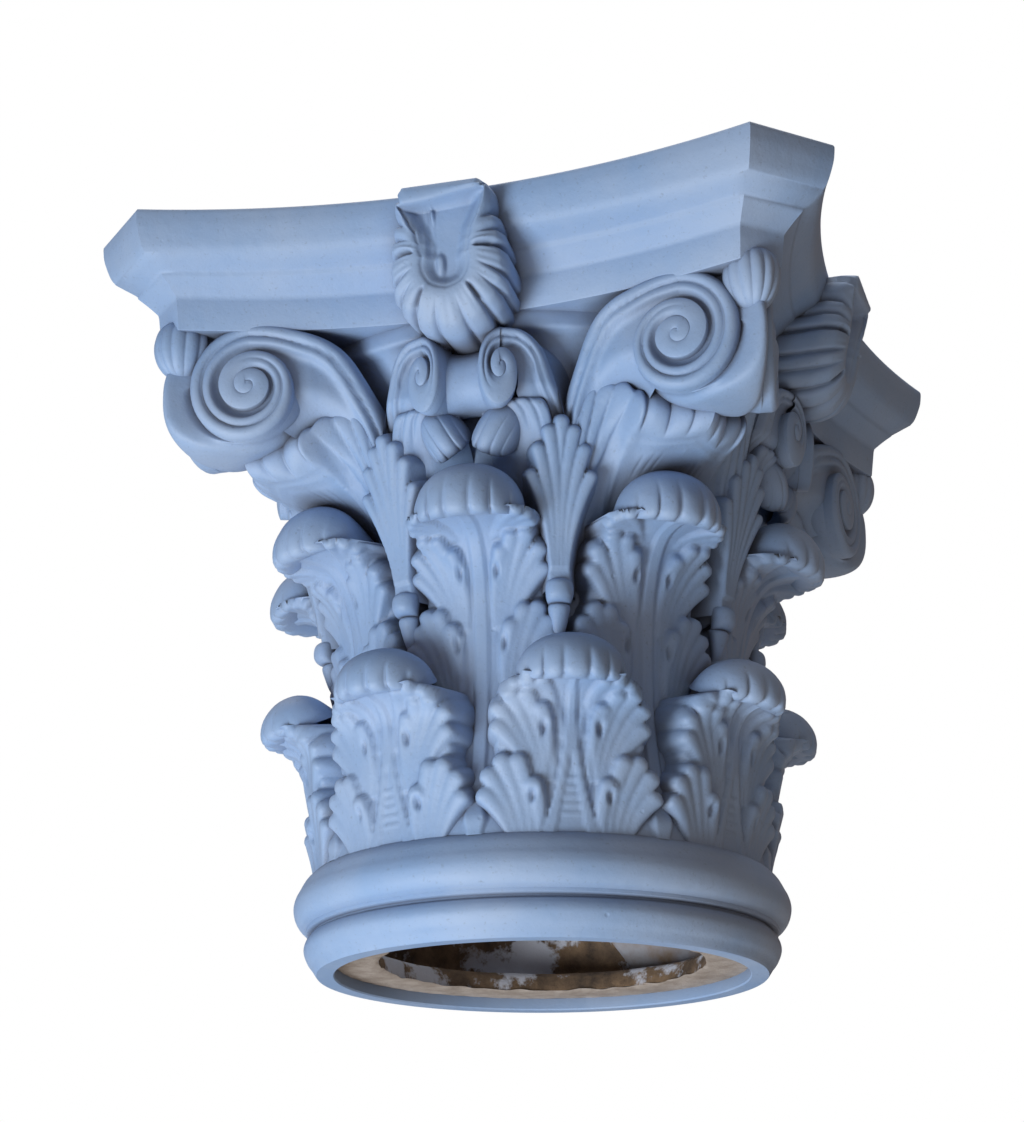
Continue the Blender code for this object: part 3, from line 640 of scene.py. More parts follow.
def lobe_height(u, v, base, tips, spread, narrow, wide, rise, lift, bow=0.003):
    """Height of a fan of fingers from one base."""
    made = np.full(u.shape, -1.0)
    for k, tip in enumerate(tips):
        foot = (base[0] + spread * (k - (len(tips) - 1) / 2), base[1])
        made = np.maximum(made, finger_height(u, v, foot, tip, narrow, wide, rise, lift, bow))
    return made


def pit(u, v, centre, half_u, half_v, depth):
    """Drop shaped hole between two lobes."""
    lean = (v - centre[1]) / half_v
    width = half_u * (1 + 0.45 * np.clip(lean, -1, 1))
    return -depth * np.exp(-(((u - centre[0]) / width) ** 2 + lean ** 2) ** 1.5)


# past this depth the side of a leaf falls straight in to the bell
LEAF_EDGE = 0.004


def leaf_skin(spine_knots, rows, cols, half_of, height_of):
    """Front of a leaf at azimuth 0: a sheet over its spine, raised by height_of and sunk at the sides."""
    spine = smooth_line(spine_knots, rows)
    way = np.gradient(spine, axis=0)
    way /= np.linalg.norm(way, axis=1)[:, None]
    step = np.linalg.norm(np.diff(spine, axis=0), axis=1)
    v = spine[0, 1] + np.concatenate([[0], np.cumsum(step)])
    u = half_of(v)[:, None] * np.linspace(-1, 1, cols)[None, :]
    vv = v[:, None] + 0 * u
    h = height_of(u, vv)
    # carving stands off along the surface's normal, and the sides fall straight in to the bell
    deepest = -(spine[:, 0] - bell_radius(spine[:, 1])) - 0.006
    raised = np.maximum(h, -LEAF_EDGE)
    sunk = np.maximum(np.minimum(h + LEAF_EDGE, 0), deepest[:, None])
    r = spine[:, :1] + raised * way[:, 1:2] + sunk
    z = spine[:, 1:2] - raised * way[:, :1]
    return grid(polar(r, u / spine[:, :1], z))


def cap_skin(knots, centre, half, depth, segments=(0.20, 0.50, 0.78, 1.0)):
    """Bent tip of a leaf: smooth above, with rounded segments down to its rim."""
    cols, rows = 85, 36
    line = smooth_line(knots, rows)
    way = np.gradient(line, axis=0)
    way /= np.linalg.norm(way, axis=1)[:, None]
    normal = np.stack([way[:, 1], -way[:, 0]], -1)
    x = np.linspace(-1, 1, cols)
    x = np.sign(x) * (1 - (1 - np.abs(x)) ** 1.15)
    size = (1 - np.abs(x) ** 2.3).clip(0, 1) ** (1 / 2.1)
    q = np.abs(x) / segments[0]
    for a, b in zip(segments, segments[1:]):
        inside = (np.abs(x) >= a) & (np.abs(x) <= b)
        q = np.where(inside, np.abs(2 * (np.abs(x) - a) / (b - a) - 1), q)
    notch = 1 - np.sqrt(np.clip(1 - (0.99 * np.clip(q, 0, 1)) ** 2.4, 0, 1))
    tilt = np.degrees(np.arctan2(normal[:, 1], normal[:, 0]))[:, None]
    fade = ease(-tilt, -44, 4) * (np.abs(tilt) < 100)
    r = centre[0] - 0.012 * x ** 2 + (line[:, :1] - centre[0]) * size
    z = centre[1] - 0.001 * x ** 2 + (line[:, 1:2] - centre[1]) * size
    cut = notch * fade * depth * np.sqrt(size)
    r = r - cut * normal[:, :1]
    z = z - cut * normal[:, 1:2] + notch * fade * 0.0016 * size
    return grid(polar(r, half * x / centre[0] + 0 * r, z))


def low_leaf_height(sizes):
    """Height over the front of a lower leaf, in its own metres across and up."""
    rise, lift = sizes.finger_rise, sizes.lobe_lift
    lobes = (
        ((0.0110, 0.150), ((0.026, 0.200), (0.037, 0.200), (0.0475, 0.194)),
         0.004, 0.0026, 0.0062, rise * 0.8, lift * 0.15, 0.002),
        ((0.0220, 0.117),
         ((0.0240, 0.177), (0.0360, 0.1900), (0.0490, 0.1905), (0.0575, 0.177), (0.0580, 0.162)),
         0.0034, 0.0022, 0.0069, rise, lift * 0.8),
        ((0.0340, 0.070),
         ((0.0285, 0.119), (0.0405, 0.1365), (0.0530, 0.1365), (0.0635, 0.126), (0.0670, 0.111)),
         0.0046, 0.0026, 0.0070, rise, lift))

    def height(u, v):
        w = np.abs(u)
        body = np.interp(v, [0.074, 0.090, 0.100, 0.125, 0.140, 0.150, 0.175, 0.186, 0.20, 0.22],
                         [0.070, 0.066, 0.060, 0.055, 0.054, 0.054, 0.050, 0.045, 0.040, 0.036])
        h = -0.0020 * ease(w, 0.008, 0.028) - 0.0035 * ease(w, 0.030, 0.058)
        h = h - np.clip(w - body, 0, None) * 3.0
        for lobe in lobes:
            h = np.maximum(h, lobe_height(w, v, *lobe))
        side = finger_height(w, v, (0.030, 0.128), (0.0560, 0.1490), 0.004, 0.0065, rise * 0.8, -0.001, 0.001)
        h = np.maximum(h, side)
        h += pit(w, v, (0.0208, 0.1555), 0.0022, 0.0062, 0.0050)
        h += pit(w, v, (0.0285, 0.1045), 0.0022, 0.0050, 0.0050)
        rib = np.interp(v, [0.074, 0.090, 0.102, 0.116, 0.132, 0.147, 0.194],
                        [0.0224, 0.0175, 0.0138, 0.0104, 0.0075, 0.0052, 0.0024])
        h = np.maximum(h, 0.0019 - np.clip(w - rib, 0, None) * 2.6)
        # a narrow line cut beside the rib
        h -= 0.0009 * np.exp(-((w - rib - 0.0006) / 0.0008) ** 2)
        groove = np.interp(v, [0.074, 0.141], [0.0122, 0.0])
        h -= 0.0016 * ease(groove - w, -0.0006, 0.0009) * (v < 0.141)
        for k in range(5):
            rung = 0.0915 + 0.0066 * k
            h += 0.0010 * np.exp(-((v - rung) / 0.0011) ** 2) * ease(groove - w, 0.0, 0.0015)
        flute = 0.0012 * np.exp(-((w - (rib + 0.0065)) / 0.0020) ** 2)
        return h - flute * ease(v, 0.10, 0.125) * (1 - ease(v, 0.165, 0.185))
    return height


def high_leaf_height(sizes):
    """Height over the front of an upper leaf, in its own metres across and up."""
    rise, lift = sizes.finger_rise, sizes.lobe_lift
    lobes = (
        ((0.018, 0.316), ((0.044, 0.350), (0.0500, 0.341), (0.0515, 0.331)),
         0.0015, 0.0030, 0.0052, rise * 0.8, lift * 0.2, 0.001),
        ((0.0175, 0.245),
         ((0.0205, 0.310), (0.0310, 0.3225), (0.0430, 0.3245), (0.0515, 0.310), (0.0535, 0.294)),
         0.0030, 0.0020, 0.0064, rise, lift * 0.8),
        ((0.0265, 0.190),
         ((0.0240, 0.250), (0.0345, 0.2625), (0.0460, 0.2635), (0.0555, 0.252), (0.0595, 0.238)),
         0.0036, 0.0022, 0.0066, rise, lift))

    def height(u, v):
        w = np.abs(u)
        body = np.interp(v, [0.08, 0.13, 0.19, 0.215, 0.25, 0.275, 0.30, 0.33, 0.345, 0.37],
                         [0.026, 0.030, 0.034, 0.046, 0.049, 0.049, 0.047, 0.045, 0.040, 0.034])
        h = -0.0016 * ease(w, 0.008, 0.026) - 0.0030 * ease(w, 0.030, 0.052)
        h = h - np.clip(w - body, 0, None) * 3.0
        for lobe in lobes:
            h = np.maximum(h, lobe_height(w, v, *lobe))
        h += pit(w, v, (0.0145, 0.2885), 0.0020, 0.0060, 0.0048)
        h += pit(w, v, (0.0185, 0.231), 0.0020, 0.0070, 0.0050)
        # the rib is a flat band that ends in a round drop at the ring
        drop = 0.0022 * np.exp(-((v - 0.089) / 0.008) ** 2)
        rib = 0.0058 + drop
        h = np.maximum(h, 0.0020 + 1.2 * drop - np.clip(w - rib, 0, None) * 2.2)
        h -= 0.0009 * np.exp(-((w - rib) / 0.0009) ** 2)
        return h
    return height


# spines and bent tips of the leaves as (radius, height)
LOW_SPINE = ((0.1830, 0.074), (0.1845, 0.100), (0.1880, 0.130), (0.1900, 0.156), (0.1925, 0.171),
             (0.1990, 0.1815), (0.2090, 0.1870), (0.2190, 0.1890))
LOW_CAP = ((0.1960, 0.1960), (0.2080, 0.1890), (0.2220, 0.1850), (0.2285, 0.1868), (0.2310, 0.1945),
           (0.2290, 0.2060), (0.2215, 0.2170), (0.2120, 0.2235), (0.2020, 0.2260), (0.1890, 0.2235),
           (0.1680, 0.2110))
HIGH_SPINE = ((0.1850, 0.076), (0.1790, 0.110), (0.1705, 0.150), (0.1660, 0.186), (0.1665, 0.230),
              (0.1700, 0.265), (0.1785, 0.294), (0.1920, 0.3130), (0.2100, 0.3190), (0.2270, 0.3180))
HIGH_CAP = ((0.2020, 0.3300), (0.2180, 0.3180), (0.2325, 0.3125), (0.2390, 0.3150), (0.2410, 0.3235),
            (0.2395, 0.3350), (0.2320, 0.3490), (0.2205, 0.3585), (0.2085, 0.3620), (0.1950, 0.3590),
            (0.1780, 0.3480), (0.1620, 0.3350))


class CAPITAL_OT_lower_leaves(bpy.types.Operator):
    """Make the lower row of acanthus leaves"""
    bl_idname = "capital.lower_leaves"
    bl_label = "Lower Leaves"

    def execute(self, context):
        sizes = context.scene.capital_leaves
        front = leaf_skin(LOW_SPINE, 76, 80, lambda v: 0.074 + 0 * v, low_leaf_height(sizes))
        cap = cap_skin(LOW_CAP, (0.2030, 0.1960), sizes.low_half, 0.0046)
        make_round(LEAVES, 0.5, {"lower_leaf": joined([front, cap])})
        return {'FINISHED'}


class CAPITAL_OT_upper_leaves(bpy.types.Operator):
    """Make the upper row of acanthus leaves"""
    bl_idname = "capital.upper_leaves"
    bl_label = "Upper Leaves"

    def execute(self, context):
        sizes = context.scene.capital_leaves
        front = leaf_skin(HIGH_SPINE, 128, 72, lambda v: 0.040 + 0.026 * ease(v, 0.170, 0.215),
                          high_leaf_height(sizes))
        cap = cap_skin(HIGH_CAP, (0.2110, 0.3260), sizes.high_half, 0.0048)
        make_round(LEAVES, 0, {"upper_leaf": joined([front, cap])})
        return {'FINISHED'}


SHEATH_TURN = 20.3
CALYX = (
    (2.6, ((0.1480, 0.3500), (0.1604, 0.3720), (0.1734, 0.3880), (0.1868, 0.3990), (0.1980, 0.4055),
           (0.2025, 0.4095), (0.2005, 0.4135), (0.1936, 0.4150), (0.1804, 0.4130))),
    (6.0, ((0.1480, 0.3350), (0.1626, 0.3600), (0.1791, 0.3800), (0.1942, 0.3940), (0.2060, 0.4040),
           (0.2095, 0.4095), (0.2075, 0.4140), (0.2004, 0.4155), (0.1856, 0.4130))),
    (10.0, ((0.1480, 0.3150), (0.1647, 0.3430), (0.1825, 0.3680), (0.1979, 0.3880), (0.2100, 0.4020),
           (0.2135, 0.4090), (0.2115, 0.4140), (0.2043, 0.4158), (0.1882, 0.4130))),
    (14.0, ((0.1480, 0.2980), (0.1667, 0.3280), (0.1855, 0.3580), (0.1999, 0.3830), (0.2100, 0.4000),
           (0.2135, 0.4085), (0.2115, 0.4140), (0.2043, 0.4158), (0.1882, 0.4130))),
    (17.5, ((0.1480, 0.2800), (0.1676, 0.3000), (0.1851, 0.3300), (0.1987, 0.3620), (0.2075, 0.3880),
           (0.2105, 0.4010), (0.2090, 0.4070), (0.2024, 0.4085), (0.1876, 0.4050))),
    (20.3, ((0.1600, 0.2620), (0.1782, 0.2720), (0.1842, 0.2950), (0.1918, 0.3230), (0.1985, 0.3480),
           (0.2010, 0.3630), (0.1992, 0.3690), (0.1940, 0.3702), (0.1852, 0.3690))),
    (25.0, ((0.1480, 0.2850), (0.1678, 0.3030), (0.1848, 0.3300), (0.1996, 0.3600), (0.2110, 0.3880),
           (0.2160, 0.4080), (0.2145, 0.4150), (0.2072, 0.4170), (0.1908, 0.4130))),
    (30.0, ((0.1480, 0.3000), (0.1670, 0.3250), (0.1865, 0.3500), (0.2060, 0.3760), (0.2210, 0.3980),
           (0.2290, 0.4140), (0.2270, 0.4215), (0.2190, 0.4240), (0.1980, 0.4200))),
    (32.2, ((0.1480, 0.3050), (0.1678, 0.3300), (0.1888, 0.3530), (0.2096, 0.3740), (0.2280, 0.3920),
           (0.2380, 0.4080), (0.2365, 0.4170), (0.2282, 0.4210), (0.2028, 0.4180))),
    (33.6, ((0.1480, 0.3100), (0.1686, 0.3360), (0.1911, 0.3570), (0.2152, 0.3740), (0.2360, 0.3860),
           (0.2460, 0.3970), (0.2445, 0.4075), (0.2344, 0.4140), (0.2056, 0.4160))),
    (36.0, ((0.1480, 0.3130), (0.1684, 0.3380), (0.1914, 0.3580), (0.2168, 0.3730), (0.2390, 0.3840),
           (0.2490, 0.3950), (0.2475, 0.4070), (0.2376, 0.4140), (0.2074, 0.4160))),
    (39.3, ((0.1480, 0.3180), (0.1703, 0.3420), (0.1961, 0.3600), (0.2241, 0.3720), (0.2430, 0.3800),
           (0.2520, 0.3930), (0.2500, 0.4060), (0.2397, 0.4130), (0.2068, 0.4150))),
    (42.6, ((0.1480, 0.3200), (0.1720, 0.3450), (0.2000, 0.3620), (0.2300, 0.3730), (0.2530, 0.3790),
           (0.2630, 0.3900), (0.2600, 0.4020), (0.2480, 0.4100), (0.2050, 0.4140))),
    (45.0, ((0.1480, 0.3200), (0.1720, 0.3450), (0.2020, 0.3630), (0.2350, 0.3740), (0.2600, 0.3800),
           (0.2705, 0.3910), (0.2670, 0.4030), (0.2530, 0.4100), (0.2050, 0.4140))))
CURL = ((0.1980, 0.3820), (0.2040, 0.3705), (0.2110, 0.3700), (0.2165, 0.3790), (0.2180, 0.3930),
        (0.2140, 0.4070), (0.2060, 0.4150), (0.1960, 0.4160), (0.1830, 0.4100))


def plump(x, cuts):
    """Round crown between each two cuts, 0 at the cuts and 1 halfway."""
    q = np.ones_like(x)
    for low, high in zip(cuts, cuts[1:]):
        q = np.where((x >= low) & (x <= high), np.abs(2 * (x - low) / (high - low) - 1), q)
    return np.sqrt(np.clip(1 - (0.985 * q) ** 2.4, 0, 1))


def calyx_skin():
    """The leaf from a sheath to the corner and the one to the side's middle, as one sheet."""
    between = 7
    turn = np.concatenate([np.linspace(2.6, 31.5, 88), np.linspace(31.7, 45.0, 66)])
    line = lofted([knots for _, knots in CALYX], [place for place, _ in CALYX], turn, between)
    way = np.gradient(line, axis=0)
    way /= np.linalg.norm(way, axis=2)[..., None]
    step = (np.arange(line.shape[0]) / between)[:, None]
    turn = turn[None, :] + 0 * step
    height = line[..., 1]
    # segments that roll over the rim below a volute
    rolled = ease(step, 3.55, 4.3) * (1 - ease(step, 6.7, 7.6)) * ease(turn, 33.2, 34.2)
    relief = rolled * 0.0050 * (plump(turn, (33.0, 34.7 + 0.3, 39.3, 42.6, 47.4)) - 0.7)
    # fingers of the upright lobe spread from the collar
    climb = np.clip((height - 0.285) / 0.135, 0.22, 1.1) ** 0.85
    spread = SHEATH_TURN + (turn - SHEATH_TURN) / climb
    fingers = plump(spread, (21.6, 24.6, 27.4, 30.4, 34.0))
    lobe = ease(turn, 21.5, 23.0) * (1 - ease(turn, 32.2, 33.6)) * ease(height, 0.325, 0.350)
    relief += lobe * 0.0032 * (fingers - 0.6) * (1 - ease(step, 6.6, 7.5))
    # two veins run below the rim and turn over it between the segments
    for reach in (0.35, 0.80):
        at = 3.75 - reach - 0.11 * np.clip(32.0 - turn, 0, None)
        relief -= 0.0012 * np.exp(-((step - at) / 0.09) ** 2) * ease(turn, 25.0, 30.0)
    # faint creases on the smooth underside
    for place in (38.0, 39.8, 41.4):
        crease = np.exp(-((turn - place + 0.8 * (3.2 - step)) / 0.35) ** 2)
        relief -= 0.0005 * crease * ease(step, 1.9, 2.4) * (1 - ease(step, 2.6, 2.9))
    # creases on the flap of the leaf towards the middle
    for place in (8.6, 11.8, 14.8):
        crease = np.exp(-((turn - place + 1.5 * (step - 4.5)) / 0.42) ** 2)
        relief -= 0.0014 * crease * ease(step, 3.0, 3.9) * (1 - ease(step, 5.6, 6.4))
    # thin round edge on the leaf towards the middle
    relief += 0.0012 * np.exp(-((step - 5.2) / 0.5) ** 2) * (1 - ease(turn, 16.0, 18.0))
    r = line[..., 0] + relief * way[..., 1]
    z = height - relief * way[..., 0]
    return grid(polar(r, np.radians(turn - 90), z))


def curl_skin():
    """Rolled tip of the leaf next to the side's middle."""
    middle = 0.3930
    points, faces = cap_skin(CURL, (0.2040, middle), 0.0195, 0.0017, (0.30, 0.66, 1.0))
    lean = math.radians(-30)
    c, s = math.cos(lean), math.sin(lean)
    across, up = points[:, 1].copy(), points[:, 2] - middle
    points[:, 1] = c * across - s * up
    points[:, 2] = middle + s * across + c * up
    return spun((points, faces), math.radians(6.4 - 90))


def sheath_leaf_skin():
    """Upright fan of fingers in front of a sheath, at azimuth 0."""
    def height(u, v):
        w = np.abs(u)
        body = np.interp(v, [0.27, 0.31, 0.34, 0.36, 0.375, 0.385, 0.395, 0.404],
                         [0.0080, 0.0085, 0.0120, 0.0150, 0.0130, 0.0060, -0.0040, -0.0160])
        h = -0.0010 - np.clip(w - body, 0, None) * 3.0
        for tip, foot, wide in (((0.0, 0.4025), 0.0, 0.0056), ((0.0100, 0.3950), 0.0022, 0.0054),
                                ((0.0185, 0.3810), 0.0044, 0.0054), ((0.0240, 0.3600), 0.0064, 0.0050)):
            h = np.maximum(h, finger_height(w, v, (foot, 0.284), tip, 0.0013, wide, 0.0034, 0.0024, 0.0035))
        return h
    spine = ((0.1830, 0.268), (0.1870, 0.300), (0.1940, 0.330), (0.2025, 0.365), (0.2085, 0.388),
             (0.2120, 0.404))
    return leaf_skin(spine, 70, 48, lambda v: 0.030 + 0 * v, height)


# the cup of a sheath and the bead on it as (front radius, height, half width)
SHEATH_CUP = ((0.1640, 0.222, 0.0018), (0.1745, 0.234, 0.0045), (0.1800, 0.247, 0.0076),
              (0.1820, 0.2545, 0.0090), (0.1790, 0.2580, 0.0078))
SHEATH_BEAD = ((0.1780, 0.2572, 0.0070), (0.1845, 0.2580, 0.0094), (0.1885, 0.2620, 0.0110),
               (0.1893, 0.2675, 0.0115), (0.1880, 0.2730, 0.0108), (0.1835, 0.2762, 0.0088),
               (0.1790, 0.2758, 0.0070))


def sheath_skin():
    """Collar bead and the cup below it, at azimuth 0."""
    skins = []
    around = np.radians(np.linspace(-125, 125, 33))[None, :]
    for knots in (SHEATH_CUP, SHEATH_BEAD):
        line = smooth_line(knots, 26)
        front, z, half = line[:, 0:1], line[:, 1:2], line[:, 2:3]
        depth = 0.9 * half
        r = front - depth + depth * np.cos(around)
        u = half * np.sin(around)
        skins.append(grid(polar(r, u / front, z)))
    return joined(skins)


class CAPITAL_OT_sheaths(bpy.types.Operator):
    """Make the sheaths, their collars and the leaves that grow from them"""
    bl_idname = "capital.sheaths"
    bl_label = "Sheaths and Their Leaves"

    def execute(self, context):
        stem = spun(joined([sheath_skin(), sheath_leaf_skin()]), math.radians(SHEATH_TURN - 90))
        half = joined([stem, calyx_skin(), curl_skin()])
        make_round(SIDES, 0, {"sheath_leaves": joined([half, mirrored(half)])})
        return {'FINISHED'}


def band_profile(f, roll):
    """Height across the band of a spiral: a round outer roll, a lower one beside it and a hollow channel."""
    outer = roll * np.sqrt(np.clip(1 - ((f - 0.21) / 0.212) ** 2, 0, 1))
    second = roll * (0.05 + 0.50 * np.sqrt(np.clip(1 - ((f - 0.60) / 0.185) ** 2, 0, 1))) * (f > 0.41)
    return np.maximum(outer, second * (1 - ease(f, 0.70, 0.90))) - roll * ease(f, 0.62, 1.0)


# share of a spiral's radius after so many turns from its top
VOLUTE_RADII = ((0, 1), (0.25, 0.87), (0.5, 0.845), (0.75, 0.68), (1, 0.535), (1.25, 0.42), (1.5, 0.385),
                (1.75, 0.335), (2, 0.24), (2.25, 0.18), (2.5, 0.15), (2.75, 0.10), (3, 0.04),
                (3.2, 0), (4.4, 0))
HELIX_RADII = ((0, 1), (0.25, 0.80), (0.5, 0.93), (0.75, 0.63), (1, 0.43), (1.25, 0.34), (1.5, 0.30),
               (1.75, 0.20), (2, 0.08), (2.15, 0), (3.4, 0))


def spiral_radius(radii, t):
    """Share of a spiral's radius after t turns."""
    line = knot_line(radii, 16)
    return np.interp(t, line[:, 0], line[:, 1])


def spiral_angle(t):
    """Angle of a spiral after t turns, which run clockwise from its top."""
    return math.pi / 2 - 2 * math.pi * t


def spiral_skin(radii, size, turns, squeeze, roll, cone, plain_from):
    """Spiral band in its own plane as (across, up, out), from its start at the top to the eye."""
    t = np.linspace(0, turns, int(54 * turns))[:, None]
    # the first column is the wall that stands on the turn outside it
    f = np.concatenate([[0.0, 0.0], np.linspace(0.02, 1, 18)])[None, :]
    radius = size * (spiral_radius(radii, t) * (1 - f) + spiral_radius(radii, t + 1) * f)
    angle = spiral_angle(t + 0 * f)
    width = size * (spiral_radius(radii, t) - spiral_radius(radii, t + 1))
    scale = np.clip(width / (0.42 * size), 0.12, 1)
    plain = roll * (np.sqrt(np.clip(1 - ((f - 0.45) / 0.62) ** 2, 0, 1)) - 0.35)
    inner = ease(t, plain_from, plain_from + 0.4)
    out = (band_profile(f, roll) * (1 - inner) + plain * inner) * scale + cone * (1 - radius / size)
    out[:, 0] -= 0.010
    return np.stack([squeeze * radius * np.cos(angle), radius * np.sin(angle), out], -1)


def edge_skin(radii, size, squeeze, depth):
    """Side wall behind the outer edge of a spiral's first turn, in its own plane."""
    t = np.linspace(0.0, 1.0, 64)[None, :]
    radius = size * spiral_radius(radii, t)
    angle = spiral_angle(t)
    back = depth * np.array([0.0, -0.35, -1.0])[:, None]
    grow = np.array([1.0, 0.985, 0.975])[:, None]
    across, up = squeeze * radius * grow * np.cos(angle), radius * grow * np.sin(angle)
    return np.stack([across, up, back + 0 * t], -1)


def spiral_meeting(radii, size, eye, first, inset, squeeze=1.0, turn=0.0):
    """Points just inside the outer edge of a spiral, where the lower edge of its stem runs along it."""
    made = []
    for t in np.linspace(first, 1.0, 12):
        radius = size * float(spiral_radius(radii, t)) - inset
        angle = spiral_angle(t)
        made.append((eye[0] + squeeze * radius * math.cos(angle) * math.cos(turn),
                     eye[2] + radius * math.sin(angle)))
    return tuple(made)


def stem_places(outer, inner, cols):
    """Share, x and height of places across a stem between its two edges, and the stem's width."""
    f = np.linspace(0, 1, cols)[None, :]
    x = outer[:, :1] * (1 - f) + inner[:, :1] * f
    z = outer[:, 1:2] * (1 - f) + inner[:, 1:2] * f
    return f, x, z, np.linalg.norm(outer - inner, axis=1)[:, None]


def side_wall(line, out, drops, dips):
    """Wall that goes back from a line of (x, height) which stands so far out."""
    drop, dip = np.array(drops)[:, None], np.array(dips)[:, None]
    x = line[:, 0][None, :] + 0 * drop
    back = out[None, :] - drop
    return grid(np.stack([x, -back, line[:, 1][None, :] - dip], -1))


def on_face(flat, x, out, z, turn):
    """Points of a spiral's plane put on the front side, with the plane turned about the vertical."""
    across, up, proud = flat[..., 0], flat[..., 1], flat[..., 2]
    c, s = math.cos(turn), math.sin(turn)
    px = x + across * c - proud * s
    py = -(out + across * s + proud * c)
    return np.stack([px, py, z + up], -1)


# eyes of the spirals as x, distance out and height, and the turn of each one's plane
EYE = (0.1753, 0.2300, 0.4397)
EYE_TURN = math.radians(8.0)
VOLUTE_CONE = 0.009
CORNER_OUT = 0.343
HELIX_EYE = (0.0306, 0.2235, 0.4345)
HELIX_TURN = math.radians(-21.0)
HELIX_SQUEEZE = 0.62
# a volute's stem: foot as x and distance out, where it leaves the spiral's plane, and its two edges
STALK_FOOT = (0.070, 0.181)
STALK_START = 0.1303
STALK_OUTER = ((0.0655, 0.376), (0.0670, 0.398), (0.0738, 0.419), (0.0827, 0.4378), (0.0975, 0.4640),
               (0.1125, 0.4770), (0.1350, 0.4855), (0.1560, 0.4915))
STALK_LOWER = ((0.0690, 0.370), (0.0720, 0.384), (0.0820, 0.3900), (0.0980, 0.3940), (0.1150, 0.3970),
               (0.1320, 0.3990))
STALK_DROPS = (0.0, 0.004, 0.012, 0.060)
STALK_DIPS = (0.0, 0.0008, 0.0018, 0.004)
# an inner spiral's stem
HELIX_OUTER = ((0.0750, 0.395), (0.0729, 0.408), (0.0673, 0.4329), (0.0601, 0.4537), (0.0470, 0.4660))
HELIX_LOWER = ((0.0600, 0.385), (0.0540, 0.392), (0.0470, 0.400))
HELIX_DROPS = (0.0, 0.003, 0.010, 0.060)


def stalk_out(x):
    """How far out a volute's stem stands: on the spiral's plane near it, back to the bell at its foot."""
    back = np.clip((STALK_START - x) / (STALK_START - STALK_FOOT[0]), 0, 1)
    plane = EYE[1] + (x - EYE[0]) * math.tan(EYE_TURN)
    foot_plane = EYE[1] + (STALK_FOOT[0] - EYE[0]) * math.tan(EYE_TURN)
    return plane - (foot_plane - STALK_FOOT[1]) * back ** 1.6


def helix_stem_out(x):
    """How far out an inner spiral's stem stands: on the spiral's plane, set back at its foot."""
    plane = HELIX_EYE[1] + (x - HELIX_EYE[0]) * math.tan(HELIX_TURN)
    return plane - 0.012 * ease(x, 0.050, 0.078)


class CAPITAL_OT_volutes(bpy.types.Operator):
    """Make the eight corner volutes with their stems"""
    bl_idname = "capital.volutes"
    bl_label = "Volutes"

    def execute(self, context):
        sizes = context.scene.capital_spirals
        size, roll = sizes.volute, sizes.roll
        flat = spiral_skin(VOLUTE_RADII, size, sizes.volute_turns, 1.0, roll, VOLUTE_CONE, 0.7)
        face = flipped(grid(on_face(flat, *EYE, EYE_TURN)))
        wall = grid(on_face(edge_skin(VOLUTE_RADII, size, 1.0, 0.014), *EYE, EYE_TURN))
        outer = smooth_line(STALK_OUTER + ((EYE[0], EYE[2] + size),), 70)
        inner = smooth_line(STALK_LOWER + spiral_meeting(VOLUTE_RADII, size, EYE, 0.60, 0.001), 70)
        f, x, z, width = stem_places(outer, inner, 28)
        band = size * float(1 - spiral_radius(VOLUTE_RADII, 1.0))
        reach = f * np.maximum(width / band, 0.45)
        proud = band_profile(np.minimum(reach, 1), roll)
        proud += VOLUTE_CONE * np.clip(1 - np.hypot(x - EYE[0], z - EYE[2]) / size, 0, 1)
        # the channel sinks back towards the leaf that hides its lower edge
        proud -= 0.046 * ease(reach, 0.6, 2.2) * ease(EYE[2] - z, 0.000, 0.040) * ease(0.168 - x, 0.0, 0.055)
        out = stalk_out(x) + proud
        stem = flipped(grid(np.stack([x, -out, z], -1)))
        # the stem's upper side goes back to the bell and the slab, and its lower side to the bell
        side = side_wall(outer, stalk_out(outer[:, 0]), STALK_DROPS, STALK_DIPS)
        under = side_wall(inner[:30], out[:30, -1], STALK_DROPS, [-dip for dip in STALK_DIPS])
        volute = joined([face, wall, stem, side, under])
        make_round(SIDES, 0, {"volutes": joined([volute, mirrored(volute)])})
        return {'FINISHED'}


